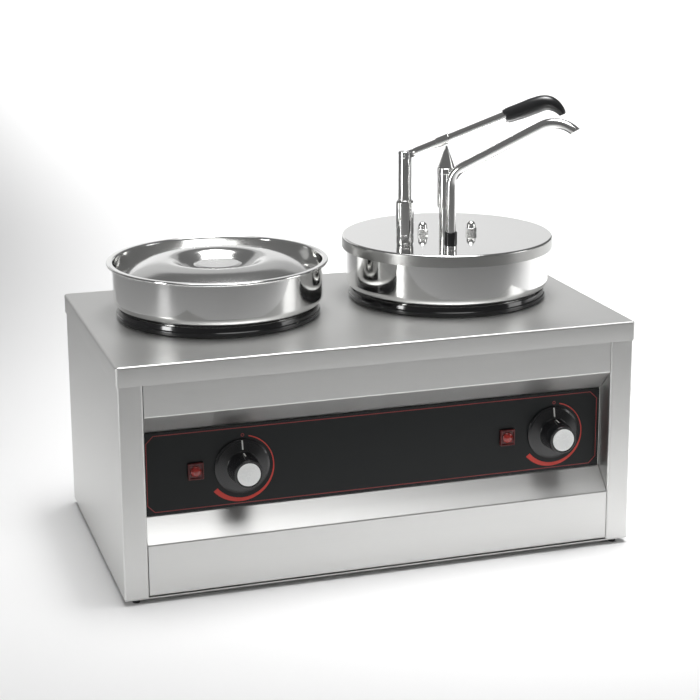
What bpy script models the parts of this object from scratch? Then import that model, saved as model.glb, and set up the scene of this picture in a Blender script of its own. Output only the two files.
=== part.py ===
"""A two-pot sauce warmer: a folded steel housing with two heated wells, a lidded pot and a pot with a lever pump.

Metres, +Z up, front towards -Y. The origin is at the bottom centre of the whole object.
"""
import bpy
import bmesh
import math
from mathutils import Matrix, Vector

# Driving dimensions of the housing
CASE_WIDTH = 0.500
CASE_DEPTH = 0.285
BODY_HEIGHT = 0.2195
FOOT_HEIGHT = 0.005
SKIRT_HEIGHT = 0.0185
SHEET = 0.0010
TOP_SHEET = 0.0010
BASE_SHEET = 0.0012
BEND_RADIUS = 0.0025
SEAT_GAP = 0.0003
RUNNING_GAP = 0.0004
CUT_OVERRUN = 0.0020
CORNER_FLANGE = 0.0228
CORNER_RETURN = 0.0235
BACK_FLANGE = 0.0228
PANEL_SETBACK = 0.0010
PANEL_FOLD = 0.0140
BASE_INSET = 0.0006

# Front panel
LOWER_BAND = 0.0500
SLANT_HEIGHT = 0.0210
FASCIA_HEIGHT = 0.0790
RECESS_DEPTH = 0.0200
FASCIA_SHEET = 0.0010
FASCIA_END_GAP = 0.0016

# Controls on the fascia
DIAL_LEFT_INSET = 0.1157
DIAL_RIGHT_INSET = 0.0732
LAMP_LEFT_INSET = 0.0722
LAMP_RIGHT_INSET = 0.1207
CONTROL_HEIGHT = 0.0390
KNOB_SKIRT_RADIUS = 0.0260
KNOB_SKIRT_THICKNESS = 0.0026
KNOB_SKIRT_CROWN = 0.0018
KNOB_HUB_RADIUS = 0.0150
KNOB_FACE_RADIUS = 0.0134
KNOB_HEIGHT = 0.0262
KNOB_EDGE = 0.0010
KNOB_CLEARANCE = 0.0008
KNOB_CAP_RADIUS = 0.0108
KNOB_CAP_SEAT = 0.0014
KNOB_CAP_PROUD = 0.0008
SPINDLE_RADIUS = 0.0030
SPINDLE_FLAT = 0.0010
SPINDLE_IN_KNOB = 0.0160
SPINDLE_IN_BUSH = 0.0060
THERMOSTAT_WIDTH = 0.0430
THERMOSTAT_HEIGHT = 0.0340
THERMOSTAT_DEPTH = 0.0280
THERMOSTAT_EDGE = 0.0020
THERMOSTAT_BUSH_RADIUS = 0.0050
BEZEL_WIDTH = 0.0145
BEZEL_HEIGHT = 0.0155
BEZEL_DEPTH = 0.0030
BEZEL_EDGE = 0.0012
LAMP_RADIUS = 0.0050
LAMP_DOME = 0.0022
LAMP_BARREL = 0.0230

# Feet
FOOT_TOP_RADIUS = 0.0045
FOOT_BOTTOM_RADIUS = 0.0035
FOOT_INSET_X = 0.0120
FOOT_INSET_Y = 0.0090

# Back panel and inlet
VENT_SLOTS = 6
VENT_SLOT_LENGTH = 0.0600
VENT_SLOT_WIDTH = 0.0040
VENT_PITCH = 0.0110
VENT_OFFSET_X = 0.1200
VENT_HEIGHT = 0.1300
BASE_SLOTS = 7
BASE_SLOT_LENGTH = 0.0800
BASE_SLOT_PITCH = 0.0160
GLAND_INSET = 0.0637
GLAND_Z = 0.0450
GLAND_THREAD_RADIUS = 0.0080
GLAND_HEX_RADIUS = 0.0120
GLAND_BORE_RADIUS = 0.0042
GLAND_PROUD = 0.0083
GLAND_FLANGE = 0.0040
GLAND_INNER_LENGTH = 0.0090
TERMINAL_WIDTH = 0.0420
TERMINAL_DEPTH = 0.0200
TERMINAL_HEIGHT = 0.0180
TERMINAL_WAYS = 3
TERMINAL_HOLE_RADIUS = 0.0026
TERMINAL_STAND_OFF = 0.0300
TERMINAL_EDGE = 0.0012

# Pots, rings, wells and heaters
POT_SPACING = 0.2364
POT_Y = 0.0192
POT_SHEET = 0.0008
POT_RADIUS = 0.1015
POT_LOWER_RADIUS = 0.0935
POT_LOWER_DEPTH = 0.1440
POT_CORNER = 0.0080
SHOULDER_BEND = 0.0090
RIM_HEIGHT_LEFT = 0.0537
RIM_RADIUS_LEFT = 0.1073
RIM_RADIUS_RIGHT = 0.1034
RIM_CURL = 0.0012
RING_RADIUS = 0.0990
RING_HEIGHT = 0.0092
RING_EDGE = 0.0014
RING_LIP = 0.0024
RING_LIP_DEPTH = 0.0060
WELL_SHEET = 0.0008
WELL_CLEARANCE = 0.0012
WELL_FLANGE = 0.0090
WATER_DEPTH = 0.0271
WELL_CORNER = 0.0080
HEATER_RADIUS = 0.0600
HEATER_WIRE_RADIUS = 0.0040
HEATER_OPENING_DEG = 30.0
HEATER_TAIL = 0.0160

# Sunken lid of the left pot
LID_SHEET = 0.0009
LID_EDGE_GAP = 0.0006
LID_EDGE_DROP = 0.0190
LID_CREST_RADIUS = 0.0500
LID_CREST_RISE = 0.0006
LID_DISH_RADIUS = 0.0430
LID_DISH_FLOOR_RADIUS = 0.0240
LID_DISH_DEPTH = 0.0150
LID_KNOB_RADIUS = 0.0235
LID_KNOB_TOP_DROP = 0.0042
LID_KNOB_THICKNESS = 0.0026
LID_STEM_RADIUS = 0.0060

# Lid of the right pot, which carries the pump
PUMP_LID_HEIGHT = 0.0623
PUMP_LID_RADIUS = 0.1055
PUMP_LID_SHEET = 0.0010
PUMP_LID_SKIRT = 0.0115
PUMP_LID_BEND = 0.0016
POST_X = -0.0580
POST_Y = -0.0375
PUMP_X = -0.0233
PUMP_Y = -0.0584
SPOUT_X = -0.0243
SPOUT_Y = -0.0746
NUT_RADIUS_AT = 0.0245
NUT_ANGLE_DEG = -13.3
NUT_HEX = 0.0100
NUT_HEX_HEIGHT = 0.0052
NUT_HEIGHT = 0.0122
STUD_RADIUS = 0.0030
BRACKET_THICKNESS = 0.0030
BRACKET_MARGIN = 0.0080

# Lever and its post
POST_HEIGHT = 0.0923
POST_RADIUS = 0.0064
PIVOT_HEIGHT = 0.0875
PIVOT_PIN_RADIUS = 0.0018
PIVOT_PIN_HEAD = 0.0006
CLEVIS_SLOT = 0.0046
CLEVIS_DEPTH = 0.0120
POST_SLEEVE_RADIUS = 0.0087
POST_SLEEVE_HEIGHT = 0.0444
POST_GROOVE_HEIGHT = 0.0102
POST_GROOVE = 0.0006
LEVER_ANGLE_DEG = 23.6
LEVER_STROKE_DEG = 40.0
LEVER_RADIUS = 0.0040
LEVER_TONGUE = 0.0038
LEVER_TONGUE_RADIUS = 0.0042
LEVER_TUBE_START = 0.0085
LEVER_TUBE_END = 0.1380
WEAR_SLEEVE_RADIUS = 0.0048
WEAR_SLEEVE_START = 0.0345
WEAR_SLEEVE_END = 0.0475
GRIP_START = 0.1075
GRIP_RADIUS = 0.0080
GRIP_LENGTH = 0.0492
GRIP_DROP = 0.0200

# Plunger and pump works
PLUNGER_RADIUS = 0.0085
PLUNGER_TIP_RADIUS = 0.0009
PLUNGER_CONE = 0.0214
PLUNGER_BAND = 0.0050
PLUNGER_BAND_PROUD = 0.0003
PLUNGER_SLEEVE = 0.0380
PLUNGER_ROOF = 0.0008
PLUNGER_GAP = 0.0006
GUIDE_RADIUS = 0.0067
GUIDE_OVERLAP = 0.0068
ROD_RADIUS = 0.0030
HEAD_THICKNESS = 0.0180
HEAD_MARGIN = 0.0030
SOCKET_DEPTH = 0.0060
CYLINDER_RADIUS = 0.0160
CYLINDER_WALL = 0.0018
SPRING_ROOM = 0.0447
PISTON_HEIGHT = 0.0140
PISTON_TOP_DROP = 0.0040
PISTON_SEAL_HEIGHT = 0.0040
PISTON_SEAL_GROOVE = 0.0022
SPRING_WIRE_RADIUS = 0.0008
SPRING_TURNS = 7
SPRING_POINTS = 8
SPRING_RADIUS = 0.0100
VALVE_THICKNESS = 0.0160
VALVE_CHAMBER_RADIUS = 0.0055
VALVE_CHAMBER_DEPTH = 0.0100
VALVE_INLET_RADIUS = 0.0030
SUCTION_RADIUS = 0.0080
SUCTION_WALL = 0.0010
SUCTION_CLEARANCE = 0.0060
RISER_RADIUS = 0.0045

# Discharge spout
SPOUT_RADIUS = 0.0048
SPOUT_WALL = 0.0008
SPOUT_TURN_DEG = -38.0
SPOUT_RISE = 0.0623
SPOUT_LOWER_BEND = 0.0220
SPOUT_SLOPE_DEG = 29.3
SPOUT_STRAIGHT = 0.0863
SPOUT_UPPER_BEND = 0.0290
SPOUT_TIP_DEG = -39.4
SPOUT_TIP = 0.0040
SPOUT_CUT_DEG = 20.0
SPOUT_BORE_LENGTH = 0.0240
BUSHING_RADIUS = 0.0062
BUSHING_BASE = 0.0050
BUSHING_HEIGHT = 0.0130
FERRULE_RADIUS = 0.0060

# Facets of round pieces
LARGE_STEPS = 36
WELL_STEPS = 24
MEDIUM_STEPS = 16
SMALL_STEPS = 12
BEND_STEPS = 2
MERGE = 0.00001

# Levels and faces worked out from the driving dimensions
BODY_BASE = FOOT_HEIGHT
TOP_Z = BODY_BASE + BODY_HEIGHT
PANEL_BASE = BODY_BASE + BASE_SHEET + SEAT_GAP
PANEL_TOP = TOP_Z - BEND_RADIUS - SEAT_GAP
BODY_HALF_X = CASE_WIDTH / 2 - TOP_SHEET - SEAT_GAP
BODY_HALF_Y = CASE_DEPTH / 2 - TOP_SHEET - SEAT_GAP
OPENING_HALF_X = BODY_HALF_X - CORNER_FLANGE
FRONT_Y = -BODY_HALF_Y + PANEL_SETBACK
FASCIA_Y = -BODY_HALF_Y + RECESS_DEPTH
RECESS_Y = FASCIA_Y + FASCIA_SHEET + SEAT_GAP
FASCIA_BASE = BODY_BASE + LOWER_BAND + SLANT_HEIGHT
FASCIA_TOP = FASCIA_BASE + FASCIA_HEIGHT
CONTROL_Z = FASCIA_BASE + CONTROL_HEIGHT
DIAL_LEFT_X = -BODY_HALF_X + DIAL_LEFT_INSET
DIAL_RIGHT_X = BODY_HALF_X - DIAL_RIGHT_INSET
LAMP_LEFT_X = -BODY_HALF_X + LAMP_LEFT_INSET
LAMP_RIGHT_X = BODY_HALF_X - LAMP_RIGHT_INSET
GLAND_X = BODY_HALF_X - GLAND_INSET
POT_LEFT_X = -POT_SPACING / 2
POT_RIGHT_X = POT_SPACING / 2
RING_BASE = TOP_Z + SEAT_GAP
RING_TOP = RING_BASE + RING_HEIGHT
RING_BORE = POT_LOWER_RADIUS + SEAT_GAP
HOLE_RADIUS = RING_BORE + RING_LIP + SEAT_GAP
SHOULDER_Z = RING_TOP + SEAT_GAP
POT_BASE = SHOULDER_Z - POT_LOWER_DEPTH
PUMP_LID_Z = TOP_Z + PUMP_LID_HEIGHT
RIM_LEFT_Z = TOP_Z + RIM_HEIGHT_LEFT
RIM_RIGHT_Z = PUMP_LID_Z - PUMP_LID_SHEET - SEAT_GAP
WELL_RADIUS = HOLE_RADIUS + WELL_CLEARANCE
WELL_TOP = TOP_Z - TOP_SHEET - SEAT_GAP
WELL_BASE = POT_BASE - WATER_DEPTH

# Places of the pump in the object
LID_CENTRE = Vector((POT_RIGHT_X, POT_Y, PUMP_LID_Z))
POST_AXIS = LID_CENTRE + Vector((POST_X, POST_Y, 0))
PUMP_AXIS = LID_CENTRE + Vector((PUMP_X, PUMP_Y, 0))
SPOUT_AXIS = LID_CENTRE + Vector((SPOUT_X, SPOUT_Y, 0))
LEVER_TURN = math.atan2(PUMP_Y - POST_Y, PUMP_X - POST_X)
LEVER_REACH = math.hypot(PUMP_X - POST_X, PUMP_Y - POST_Y)
LEVER_ANGLE = math.radians(LEVER_ANGLE_DEG)
LEVER_STROKE = math.radians(LEVER_STROKE_DEG)
PIVOT = POST_AXIS + Vector((0, 0, PIVOT_HEIGHT))
BRACKET_TOP = PUMP_LID_Z - PUMP_LID_SHEET - SEAT_GAP
BRACKET_BASE = BRACKET_TOP - BRACKET_THICKNESS
HEAD_TOP = BRACKET_BASE - SEAT_GAP
HEAD_BASE = HEAD_TOP - HEAD_THICKNESS
CYLINDER_TOP = HEAD_BASE - SEAT_GAP
PISTON_TOP = CYLINDER_TOP - PISTON_TOP_DROP
PISTON_BASE = PISTON_TOP - PISTON_HEIGHT
CYLINDER_BORE = CYLINDER_RADIUS - CYLINDER_WALL
RISER_REACH = CYLINDER_RADIUS + RISER_RADIUS + SEAT_GAP


def lever_underside(angle):
    """Height of the wear sleeve's underside at the plunger's tip, above the pivot, at a lever angle."""
    edge = LEVER_REACH - math.copysign(PLUNGER_TIP_RADIUS, angle)
    return edge * math.tan(angle) - WEAR_SLEEVE_RADIUS / math.cos(angle)


PLUNGER_TRAVEL = lever_underside(LEVER_ANGLE) - lever_underside(LEVER_ANGLE - LEVER_STROKE)
PLUNGER_TIP = PIVOT.z + lever_underside(LEVER_ANGLE) - PLUNGER_GAP
CYLINDER_BASE = PISTON_BASE - PLUNGER_TRAVEL - SPRING_ROOM
VALVE_TOP = CYLINDER_BASE - SEAT_GAP
VALVE_BASE = VALVE_TOP - VALVE_THICKNESS
CONE_BASE = PLUNGER_TIP - PLUNGER_CONE
PLUNGER_BASE = CONE_BASE - PLUNGER_SLEEVE
PLUNGER_ROOF_Z = CONE_BASE - PLUNGER_ROOF
GUIDE_TOP = PLUNGER_BASE + GUIDE_OVERLAP

PARTS = None
CUTTERS = None


def start_scene():
    """Empty the scene and make the two collections."""
    global PARTS, CUTTERS
    for item in list(bpy.data.objects):
        bpy.data.objects.remove(item, do_unlink=True)
    PARTS = bpy.data.collections.new("sauce_warmer")
    CUTTERS = bpy.data.collections.new("cutters")
    for group in (PARTS, CUTTERS):
        bpy.context.scene.collection.children.link(group)


def material(name, colour, roughness, metallic=0.0):
    made = bpy.data.materials.new(name)
    made.use_nodes = True
    shader = made.node_tree.nodes["Principled BSDF"]
    shader.inputs["Base Color"].default_value = (*colour, 1.0)
    shader.inputs["Roughness"].default_value = roughness
    shader.inputs["Metallic"].default_value = metallic
    return made


def steel(name, shade=0.62, roughness=0.3):
    return material(name, (shade, shade, shade), roughness, 1.0)


def place(name, data, finish, location=(0, 0, 0), rotation=(0, 0, 0)):
    """Put a mesh or curve in the scene as a named part."""
    piece = bpy.data.objects.new(name, data)
    piece.location = location
    piece.rotation_euler = rotation
    data.materials.append(finish)
    PARTS.objects.link(piece)
    return piece


def place_cutter(name, data, location=(0, 0, 0), rotation=(0, 0, 0)):
    """Put a mesh in the scene as a tool that only cuts or joins."""
    tool = bpy.data.objects.new(name, data)
    tool.location = location
    tool.rotation_euler = rotation
    tool.hide_render = True
    tool.display_type = "WIRE"
    CUTTERS.objects.link(tool)
    return tool


def combine(piece, tool, operation="DIFFERENCE"):
    """Cut a part with a tool, or join the tool to it."""
    step = piece.modifiers.new(tool.name, "BOOLEAN")
    step.object = tool
    step.operation = operation
    step.solver = "EXACT"
    return piece


def box_data(name, size):
    mesh = bpy.data.meshes.new(name)
    shape = bmesh.new()
    bmesh.ops.create_cube(shape, size=1.0)
    bmesh.ops.scale(shape, vec=size, verts=shape.verts)
    shape.to_mesh(mesh)
    shape.free()
    return mesh


def rod_data(name, radius, length, steps, end_radius=None):
    """A cylinder or cone along Z, centred on its origin."""
    mesh = bpy.data.meshes.new(name)
    shape = bmesh.new()
    far = radius if end_radius is None else end_radius
    bmesh.ops.create_cone(
        shape, cap_ends=True, segments=steps, radius1=radius, radius2=far, depth=length
    )
    shape.to_mesh(mesh)
    shape.free()
    mesh.shade_smooth()
    mesh.set_sharp_from_angle(angle=math.radians(40))
    return mesh


def drill(piece, name, centre, radius, length, rotation=(0, 0, 0), steps=MEDIUM_STEPS):
    """Cut a round hole through a part."""
    return combine(piece, place_cutter(name, rod_data(name, radius, length, steps), centre, rotation))


def slot(piece, name, centre, size):
    """Cut a rectangular slot through a part."""
    return combine(piece, place_cutter(name, box_data(name, size), centre))


def bevel(piece, width, segments=2):
    step = piece.modifiers.new("rounded_edges", "BEVEL")
    step.width = width
    step.segments = segments
    step.limit_method = "ANGLE"
    step.angle_limit = math.radians(50)
    return piece


def turned_data(name, profile, closed):
    """A mesh of joined points (radius, height) for a Screw modifier."""
    mesh = bpy.data.meshes.new(name)
    shape = bmesh.new()
    points = [shape.verts.new((radius, 0, height)) for radius, height in profile]
    for start, end in zip(points, points[1:]):
        shape.edges.new((start, end))
    if closed:
        shape.edges.new((points[-1], points[0]))
    shape.to_mesh(mesh)
    shape.free()
    return mesh


def spin(piece, steps):
    step = piece.modifiers.new("turned", "SCREW")
    step.angle = math.tau
    step.steps = steps
    step.render_steps = steps
    step.use_merge_vertices = True
    step.merge_threshold = MERGE
    step.use_smooth_shade = True
    return piece


def turned(name, profile, finish, steps, location=(0, 0, 0), rotation=(0, 0, 0), closed=True):
    """A turned part. The profile runs down its outer side, top to bottom."""
    piece = place(name, turned_data(name, profile, closed), finish, location, rotation)
    return spin(piece, steps)


def offset_path(path, distance):
    """A copy of an open path moved sideways, to its left for a positive distance."""
    moved = []
    last = len(path) - 1
    for index, point in enumerate(path):
        here = Vector(point)
        before = (here - Vector(path[index - 1])).normalized() if index > 0 else None
        after = (Vector(path[index + 1]) - here).normalized() if index < last else None
        first = before or after
        second = after or before
        left_one = Vector((-first.y, first.x))
        left_two = Vector((-second.y, second.x))
        middle = (left_one + left_two).normalized()
        moved.append(tuple(here + middle * distance / middle.dot(left_one)))
    return moved


def round_corners(path, radius, steps=BEND_STEPS):
    """A path whose inner corners are arcs."""
    points = [Vector(path[0])]
    for before, corner, after in zip(path, path[1:], path[2:]):
        corner = Vector(corner)
        back = (Vector(before) - corner).normalized()
        ahead = (Vector(after) - corner).normalized()
        half = back.angle(ahead) / 2
        reach = radius / math.tan(half)
        centre = corner + (back + ahead).normalized() * radius / math.sin(half)
        start = corner + back * reach - centre
        sweep = start.angle_signed(corner + ahead * reach - centre)
        for index in range(steps + 1):
            turn = Matrix.Rotation(-sweep * index / steps, 2)
            points.append(centre + turn @ start)
    points.append(Vector(path[-1]))
    return [tuple(point) for point in points]


def arc(centre, radius, start_deg, end_deg, steps=BEND_STEPS):
    """Points along an arc, with angles from the first axis towards the second."""
    points = []
    for index in range(steps + 1):
        angle = math.radians(start_deg + (end_deg - start_deg) * index / steps)
        points.append((centre[0] + radius * math.cos(angle), centre[1] + radius * math.sin(angle)))
    return points


def folded_sheet(name, path, finish, thickness, start, run, outside, across):
    """A sheet folded along a path and run straight in one direction.

    across maps a path point to the object's axes, start and run give the two ends of the run,
    and outside is the direction that the path's first stretch faces.
    """
    mesh = bpy.data.meshes.new(name)
    shape = bmesh.new()
    points = [shape.verts.new(across(*point) + start) for point in path]
    edges = [shape.edges.new(pair) for pair in zip(points, points[1:])]
    made = bmesh.ops.extrude_edge_only(shape, edges=edges)["geom"]
    bmesh.ops.translate(shape, verts=[item for item in made if isinstance(item, bmesh.types.BMVert)], vec=run)
    bmesh.ops.recalc_face_normals(shape, faces=shape.faces)
    shape.faces.ensure_lookup_table()
    shape.normal_update()
    first = min(shape.faces, key=lambda face: (face.calc_center_median() - start - across(*path[0])).length)
    if first.normal.dot(outside) < 0:
        bmesh.ops.reverse_faces(shape, faces=shape.faces)
    shape.to_mesh(mesh)
    shape.free()
    piece = place(name, mesh, finish)
    step = piece.modifiers.new("sheet", "SOLIDIFY")
    step.thickness = thickness
    step.offset = -1
    step.use_even_offset = True
    return piece


def flat_plate(name, outline, finish, base, thickness, holes=()):
    """A flat plate cut to an outline, with round holes given as (x, y, radius)."""
    curve = bpy.data.curves.new(name, "CURVE")
    curve.dimensions = "2D"
    curve.fill_mode = "BOTH"
    curve.extrude = thickness / 2
    loops = [list(outline)]
    for x, y, radius in holes:
        loops.append(arc((x, y), radius, 0, 360, MEDIUM_STEPS)[:-1])
    for loop in loops:
        line = curve.splines.new("POLY")
        line.points.add(len(loop) - 1)
        for point, (x, y) in zip(line.points, loop):
            point.co = (x, y, 0, 1)
        line.use_cyclic_u = True
    return curve_to_part(name, curve, finish, (0, 0, base + thickness / 2))


def curve_to_part(name, curve, finish, location=(0, 0, 0), rotation=(0, 0, 0), as_cutter=False):
    """Turn a curve into a welded mesh part."""
    guide = bpy.data.objects.new(name + "_curve", curve)
    guide.location = location
    guide.rotation_euler = rotation
    PARTS.objects.link(guide)
    bpy.context.view_layer.update()
    graph = bpy.context.evaluated_depsgraph_get()
    mesh = bpy.data.meshes.new_from_object(guide.evaluated_get(graph))
    shape = bmesh.new()
    shape.from_mesh(mesh)
    bmesh.ops.remove_doubles(shape, verts=shape.verts, dist=MERGE)
    bmesh.ops.recalc_face_normals(shape, faces=shape.faces)
    shape.to_mesh(mesh)
    shape.free()
    mesh.name = name
    matrix = guide.matrix_world.copy()
    bpy.data.objects.remove(guide, do_unlink=True)
    piece = place_cutter(name, mesh) if as_cutter else place(name, mesh, finish)
    piece.matrix_world = matrix
    return piece


def tube_curve(name, points, radius, radii=None, resolution=4, cyclic=False):
    """A curve that sweeps a round section along points, with filled ends."""
    curve = bpy.data.curves.new(name, "CURVE")
    curve.dimensions = "3D"
    curve.bevel_depth = radius
    curve.bevel_resolution = resolution
    curve.use_fill_caps = not cyclic
    line = curve.splines.new("POLY")
    line.points.add(len(points) - 1)
    for index, (point, place_at) in enumerate(zip(line.points, points)):
        point.co = (*place_at, 1)
        point.radius = 1.0 if radii is None else radii[index]
    line.use_cyclic_u = cyclic
    return curve


def hull(circles, steps=SMALL_STEPS):
    """The outline round several circles (x, y, radius), anticlockwise."""
    cloud = []
    for x, y, radius in circles:
        cloud += arc((x, y), radius, 0, 360, steps)[:-1]
    cloud = sorted(set(cloud))

    def half(points):
        chain = []
        for point in points:
            while len(chain) > 1 and turn(chain[-2], chain[-1], point) <= 0:
                chain.pop()
            chain.append(point)
        return chain[:-1]

    def turn(one, two, three):
        return (two[0] - one[0]) * (three[1] - one[1]) - (two[1] - one[1]) * (three[0] - one[0])

    return half(cloud) + half(cloud[::-1])


def make_base_plate():
    half_x = BODY_HALF_X - BASE_INSET
    half_y = BODY_HALF_Y - BASE_INSET
    plate = place(
        "base_plate", box_data("base_plate", (2 * half_x, 2 * half_y, BASE_SHEET)),
        steel("base_steel", 0.5, 0.4), (0, 0, BODY_BASE + BASE_SHEET / 2),
    )
    for side in (-1, 1):
        for index in range(BASE_SLOTS):
            x = side * POT_SPACING / 2 + (index - (BASE_SLOTS - 1) / 2) * BASE_SLOT_PITCH
            slot(
                plate, "base_slot", (x, POT_Y, BODY_BASE),
                (VENT_SLOT_WIDTH, BASE_SLOT_LENGTH, BASE_SHEET + 2 * CUT_OVERRUN),
            )


def make_side_panel(side, name):
    """A side wall folded round both corners, with a return at the front beside the recess."""
    corners = [
        (-OPENING_HALF_X, -BODY_HALF_Y + CORNER_RETURN),
        (-OPENING_HALF_X, -BODY_HALF_Y),
        (-BODY_HALF_X, -BODY_HALF_Y),
        (-BODY_HALF_X, BODY_HALF_Y),
        (-BODY_HALF_X + BACK_FLANGE, BODY_HALF_Y),
    ]
    folded_sheet(
        name, round_corners(corners, BEND_RADIUS), steel(name + "_steel"), SHEET,
        Vector((0, 0, PANEL_BASE)), Vector((0, 0, PANEL_TOP - PANEL_BASE)),
        Vector((-side, 0, 0)), lambda x, y: Vector((-side * x, y, 0)),
    )


def make_front_panel():
    """The front: two bands, two slants and the recessed flat, bent from one sheet."""
    upper_band = FASCIA_TOP + SLANT_HEIGHT
    corners = [
        (FRONT_Y + PANEL_FOLD, PANEL_BASE),
        (FRONT_Y, PANEL_BASE),
        (FRONT_Y, BODY_BASE + LOWER_BAND),
        (RECESS_Y, FASCIA_BASE),
        (RECESS_Y, FASCIA_TOP),
        (FRONT_Y, upper_band),
        (FRONT_Y, PANEL_TOP),
        (FRONT_Y + PANEL_FOLD, PANEL_TOP),
    ]
    half = OPENING_HALF_X - SEAT_GAP
    panel = folded_sheet(
        "front_panel", round_corners(corners, BEND_RADIUS, 2), steel("front_panel_steel"), SHEET,
        Vector((-half, 0, 0)), Vector((2 * half, 0, 0)),
        Vector((0, 0, -1)), lambda y, z: Vector((0, y, z)),
    )
    turn = (math.pi / 2, 0, 0)
    depth = 2 * (SHEET + CUT_OVERRUN)
    for x in (DIAL_LEFT_X, DIAL_RIGHT_X):
        drill(panel, "bush_hole", (x, RECESS_Y, CONTROL_Z), THERMOSTAT_BUSH_RADIUS + SEAT_GAP, depth, turn)
    for x in (LAMP_LEFT_X, LAMP_RIGHT_X):
        drill(panel, "lamp_hole", (x, RECESS_Y, CONTROL_Z), LAMP_RADIUS + SEAT_GAP, depth, turn)


def make_fascia():
    half = OPENING_HALF_X - FASCIA_END_GAP
    fascia = place(
        "control_fascia", box_data("control_fascia", (2 * half, FASCIA_SHEET, FASCIA_HEIGHT - 2 * SEAT_GAP)),
        material("fascia_black", (0.02, 0.022, 0.022), 0.35),
        (0, FASCIA_Y + FASCIA_SHEET / 2, (FASCIA_BASE + FASCIA_TOP) / 2),
    )
    turn = (math.pi / 2, 0, 0)
    depth = FASCIA_SHEET + 2 * CUT_OVERRUN
    for x in (DIAL_LEFT_X, DIAL_RIGHT_X):
        drill(fascia, "spindle_hole", (x, FASCIA_Y, CONTROL_Z), THERMOSTAT_BUSH_RADIUS + SEAT_GAP, depth, turn)
    for x in (LAMP_LEFT_X, LAMP_RIGHT_X):
        drill(fascia, "lens_hole", (x, FASCIA_Y, CONTROL_Z), LAMP_RADIUS + SEAT_GAP, depth, turn)


def make_top_panel():
    """The top sheet with its folded skirt and the two pot holes."""
    mesh = bpy.data.meshes.new("top_panel")
    shape = bmesh.new()
    bmesh.ops.create_cube(shape, size=1.0)
    bmesh.ops.scale(shape, vec=(CASE_WIDTH, CASE_DEPTH, SKIRT_HEIGHT), verts=shape.verts)
    floor = [face for face in shape.faces if face.normal.z < -0.5]
    bmesh.ops.delete(shape, geom=floor, context="FACES_ONLY")
    shape.to_mesh(mesh)
    shape.free()
    panel = place("top_panel", mesh, steel("top_steel"), (0, 0, TOP_Z - SKIRT_HEIGHT / 2))
    bevel(panel, BEND_RADIUS)
    step = panel.modifiers.new("sheet", "SOLIDIFY")
    step.thickness = TOP_SHEET
    step.offset = -1
    step.use_even_offset = True
    for x in (POT_LEFT_X, POT_RIGHT_X):
        drill(
            panel, "pot_hole", (x, POT_Y, TOP_Z), HOLE_RADIUS, 2 * (TOP_SHEET + CUT_OVERRUN), steps=LARGE_STEPS
        )


def make_back_panel():
    """The back sheet, held inside the side panels' back flanges, with vents and the inlet hole."""
    outer = BODY_HALF_Y - SHEET - SEAT_GAP
    half = BODY_HALF_X - BEND_RADIUS
    panel = place(
        "back_panel", box_data("back_panel", (2 * half, SHEET, PANEL_TOP - PANEL_BASE)),
        steel("back_steel", 0.58, 0.35), (0, outer - SHEET / 2, (PANEL_TOP + PANEL_BASE) / 2),
    )
    for side in (-1, 1):
        for index in range(VENT_SLOTS):
            z = VENT_HEIGHT + (index - (VENT_SLOTS - 1) / 2) * VENT_PITCH
            slot(
                panel, "vent_slot", (side * VENT_OFFSET_X, outer, z),
                (VENT_SLOT_LENGTH, 2 * (SHEET + CUT_OVERRUN), VENT_SLOT_WIDTH),
            )
    drill(
        panel, "gland_hole", (GLAND_X, outer, GLAND_Z), GLAND_THREAD_RADIUS + SEAT_GAP,
        2 * (SHEET + CUT_OVERRUN), (math.pi / 2, 0, 0), MEDIUM_STEPS,
    )


def make_cable_gland():
    """A screwed inlet for the supply cable: a hexagonal nut outside and a threaded barrel through the panel."""
    panel_face = BODY_HALF_Y - SHEET - SEAT_GAP
    turn = (-math.pi / 2, 0, 0)
    length = GLAND_PROUD - SEAT_GAP
    nose = GLAND_THREAD_RADIUS
    barrel = [
        (GLAND_BORE_RADIUS, length), (nose, length), (nose, GLAND_FLANGE / 2),
        (GLAND_THREAD_RADIUS, -GLAND_INNER_LENGTH), (GLAND_BORE_RADIUS, -GLAND_INNER_LENGTH),
    ]
    gland = turned(
        "cable_gland", barrel, material("gland_black", (0.03, 0.03, 0.03), 0.5), MEDIUM_STEPS,
        (GLAND_X, panel_face + SEAT_GAP, GLAND_Z), turn,
    )
    nut = place_cutter(
        "gland_hexagon", rod_data("gland_hexagon", GLAND_HEX_RADIUS, GLAND_FLANGE, 6),
        (GLAND_X, panel_face + SEAT_GAP + GLAND_FLANGE / 2, GLAND_Z), turn,
    )
    drill(nut, "gland_hexagon_bore", nut.location, (GLAND_BORE_RADIUS + GLAND_THREAD_RADIUS) / 2,
          GLAND_FLANGE + 2 * CUT_OVERRUN, turn)
    combine(gland, nut, "UNION")


def make_terminal_block():
    """A block of cable terminals on the base plate, behind the inlet."""
    base = BODY_BASE + BASE_SHEET + SEAT_GAP
    y = BODY_HALF_Y - TERMINAL_STAND_OFF - TERMINAL_DEPTH
    block = place(
        "terminal_block", box_data("terminal_block", (TERMINAL_WIDTH, TERMINAL_DEPTH, TERMINAL_HEIGHT)),
        material("terminal_white", (0.8, 0.78, 0.72), 0.5), (GLAND_X, y, base + TERMINAL_HEIGHT / 2),
    )
    bevel(block, TERMINAL_EDGE, 1)
    pitch = TERMINAL_WIDTH / TERMINAL_WAYS
    for index in range(TERMINAL_WAYS):
        x = GLAND_X + (index - (TERMINAL_WAYS - 1) / 2) * pitch
        drill(
            block, "terminal_hole", (x, y, base + TERMINAL_HEIGHT / 2), TERMINAL_HOLE_RADIUS,
            TERMINAL_DEPTH + 2 * CUT_OVERRUN, (math.pi / 2, 0, 0), SMALL_STEPS // 2,
        )


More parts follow.
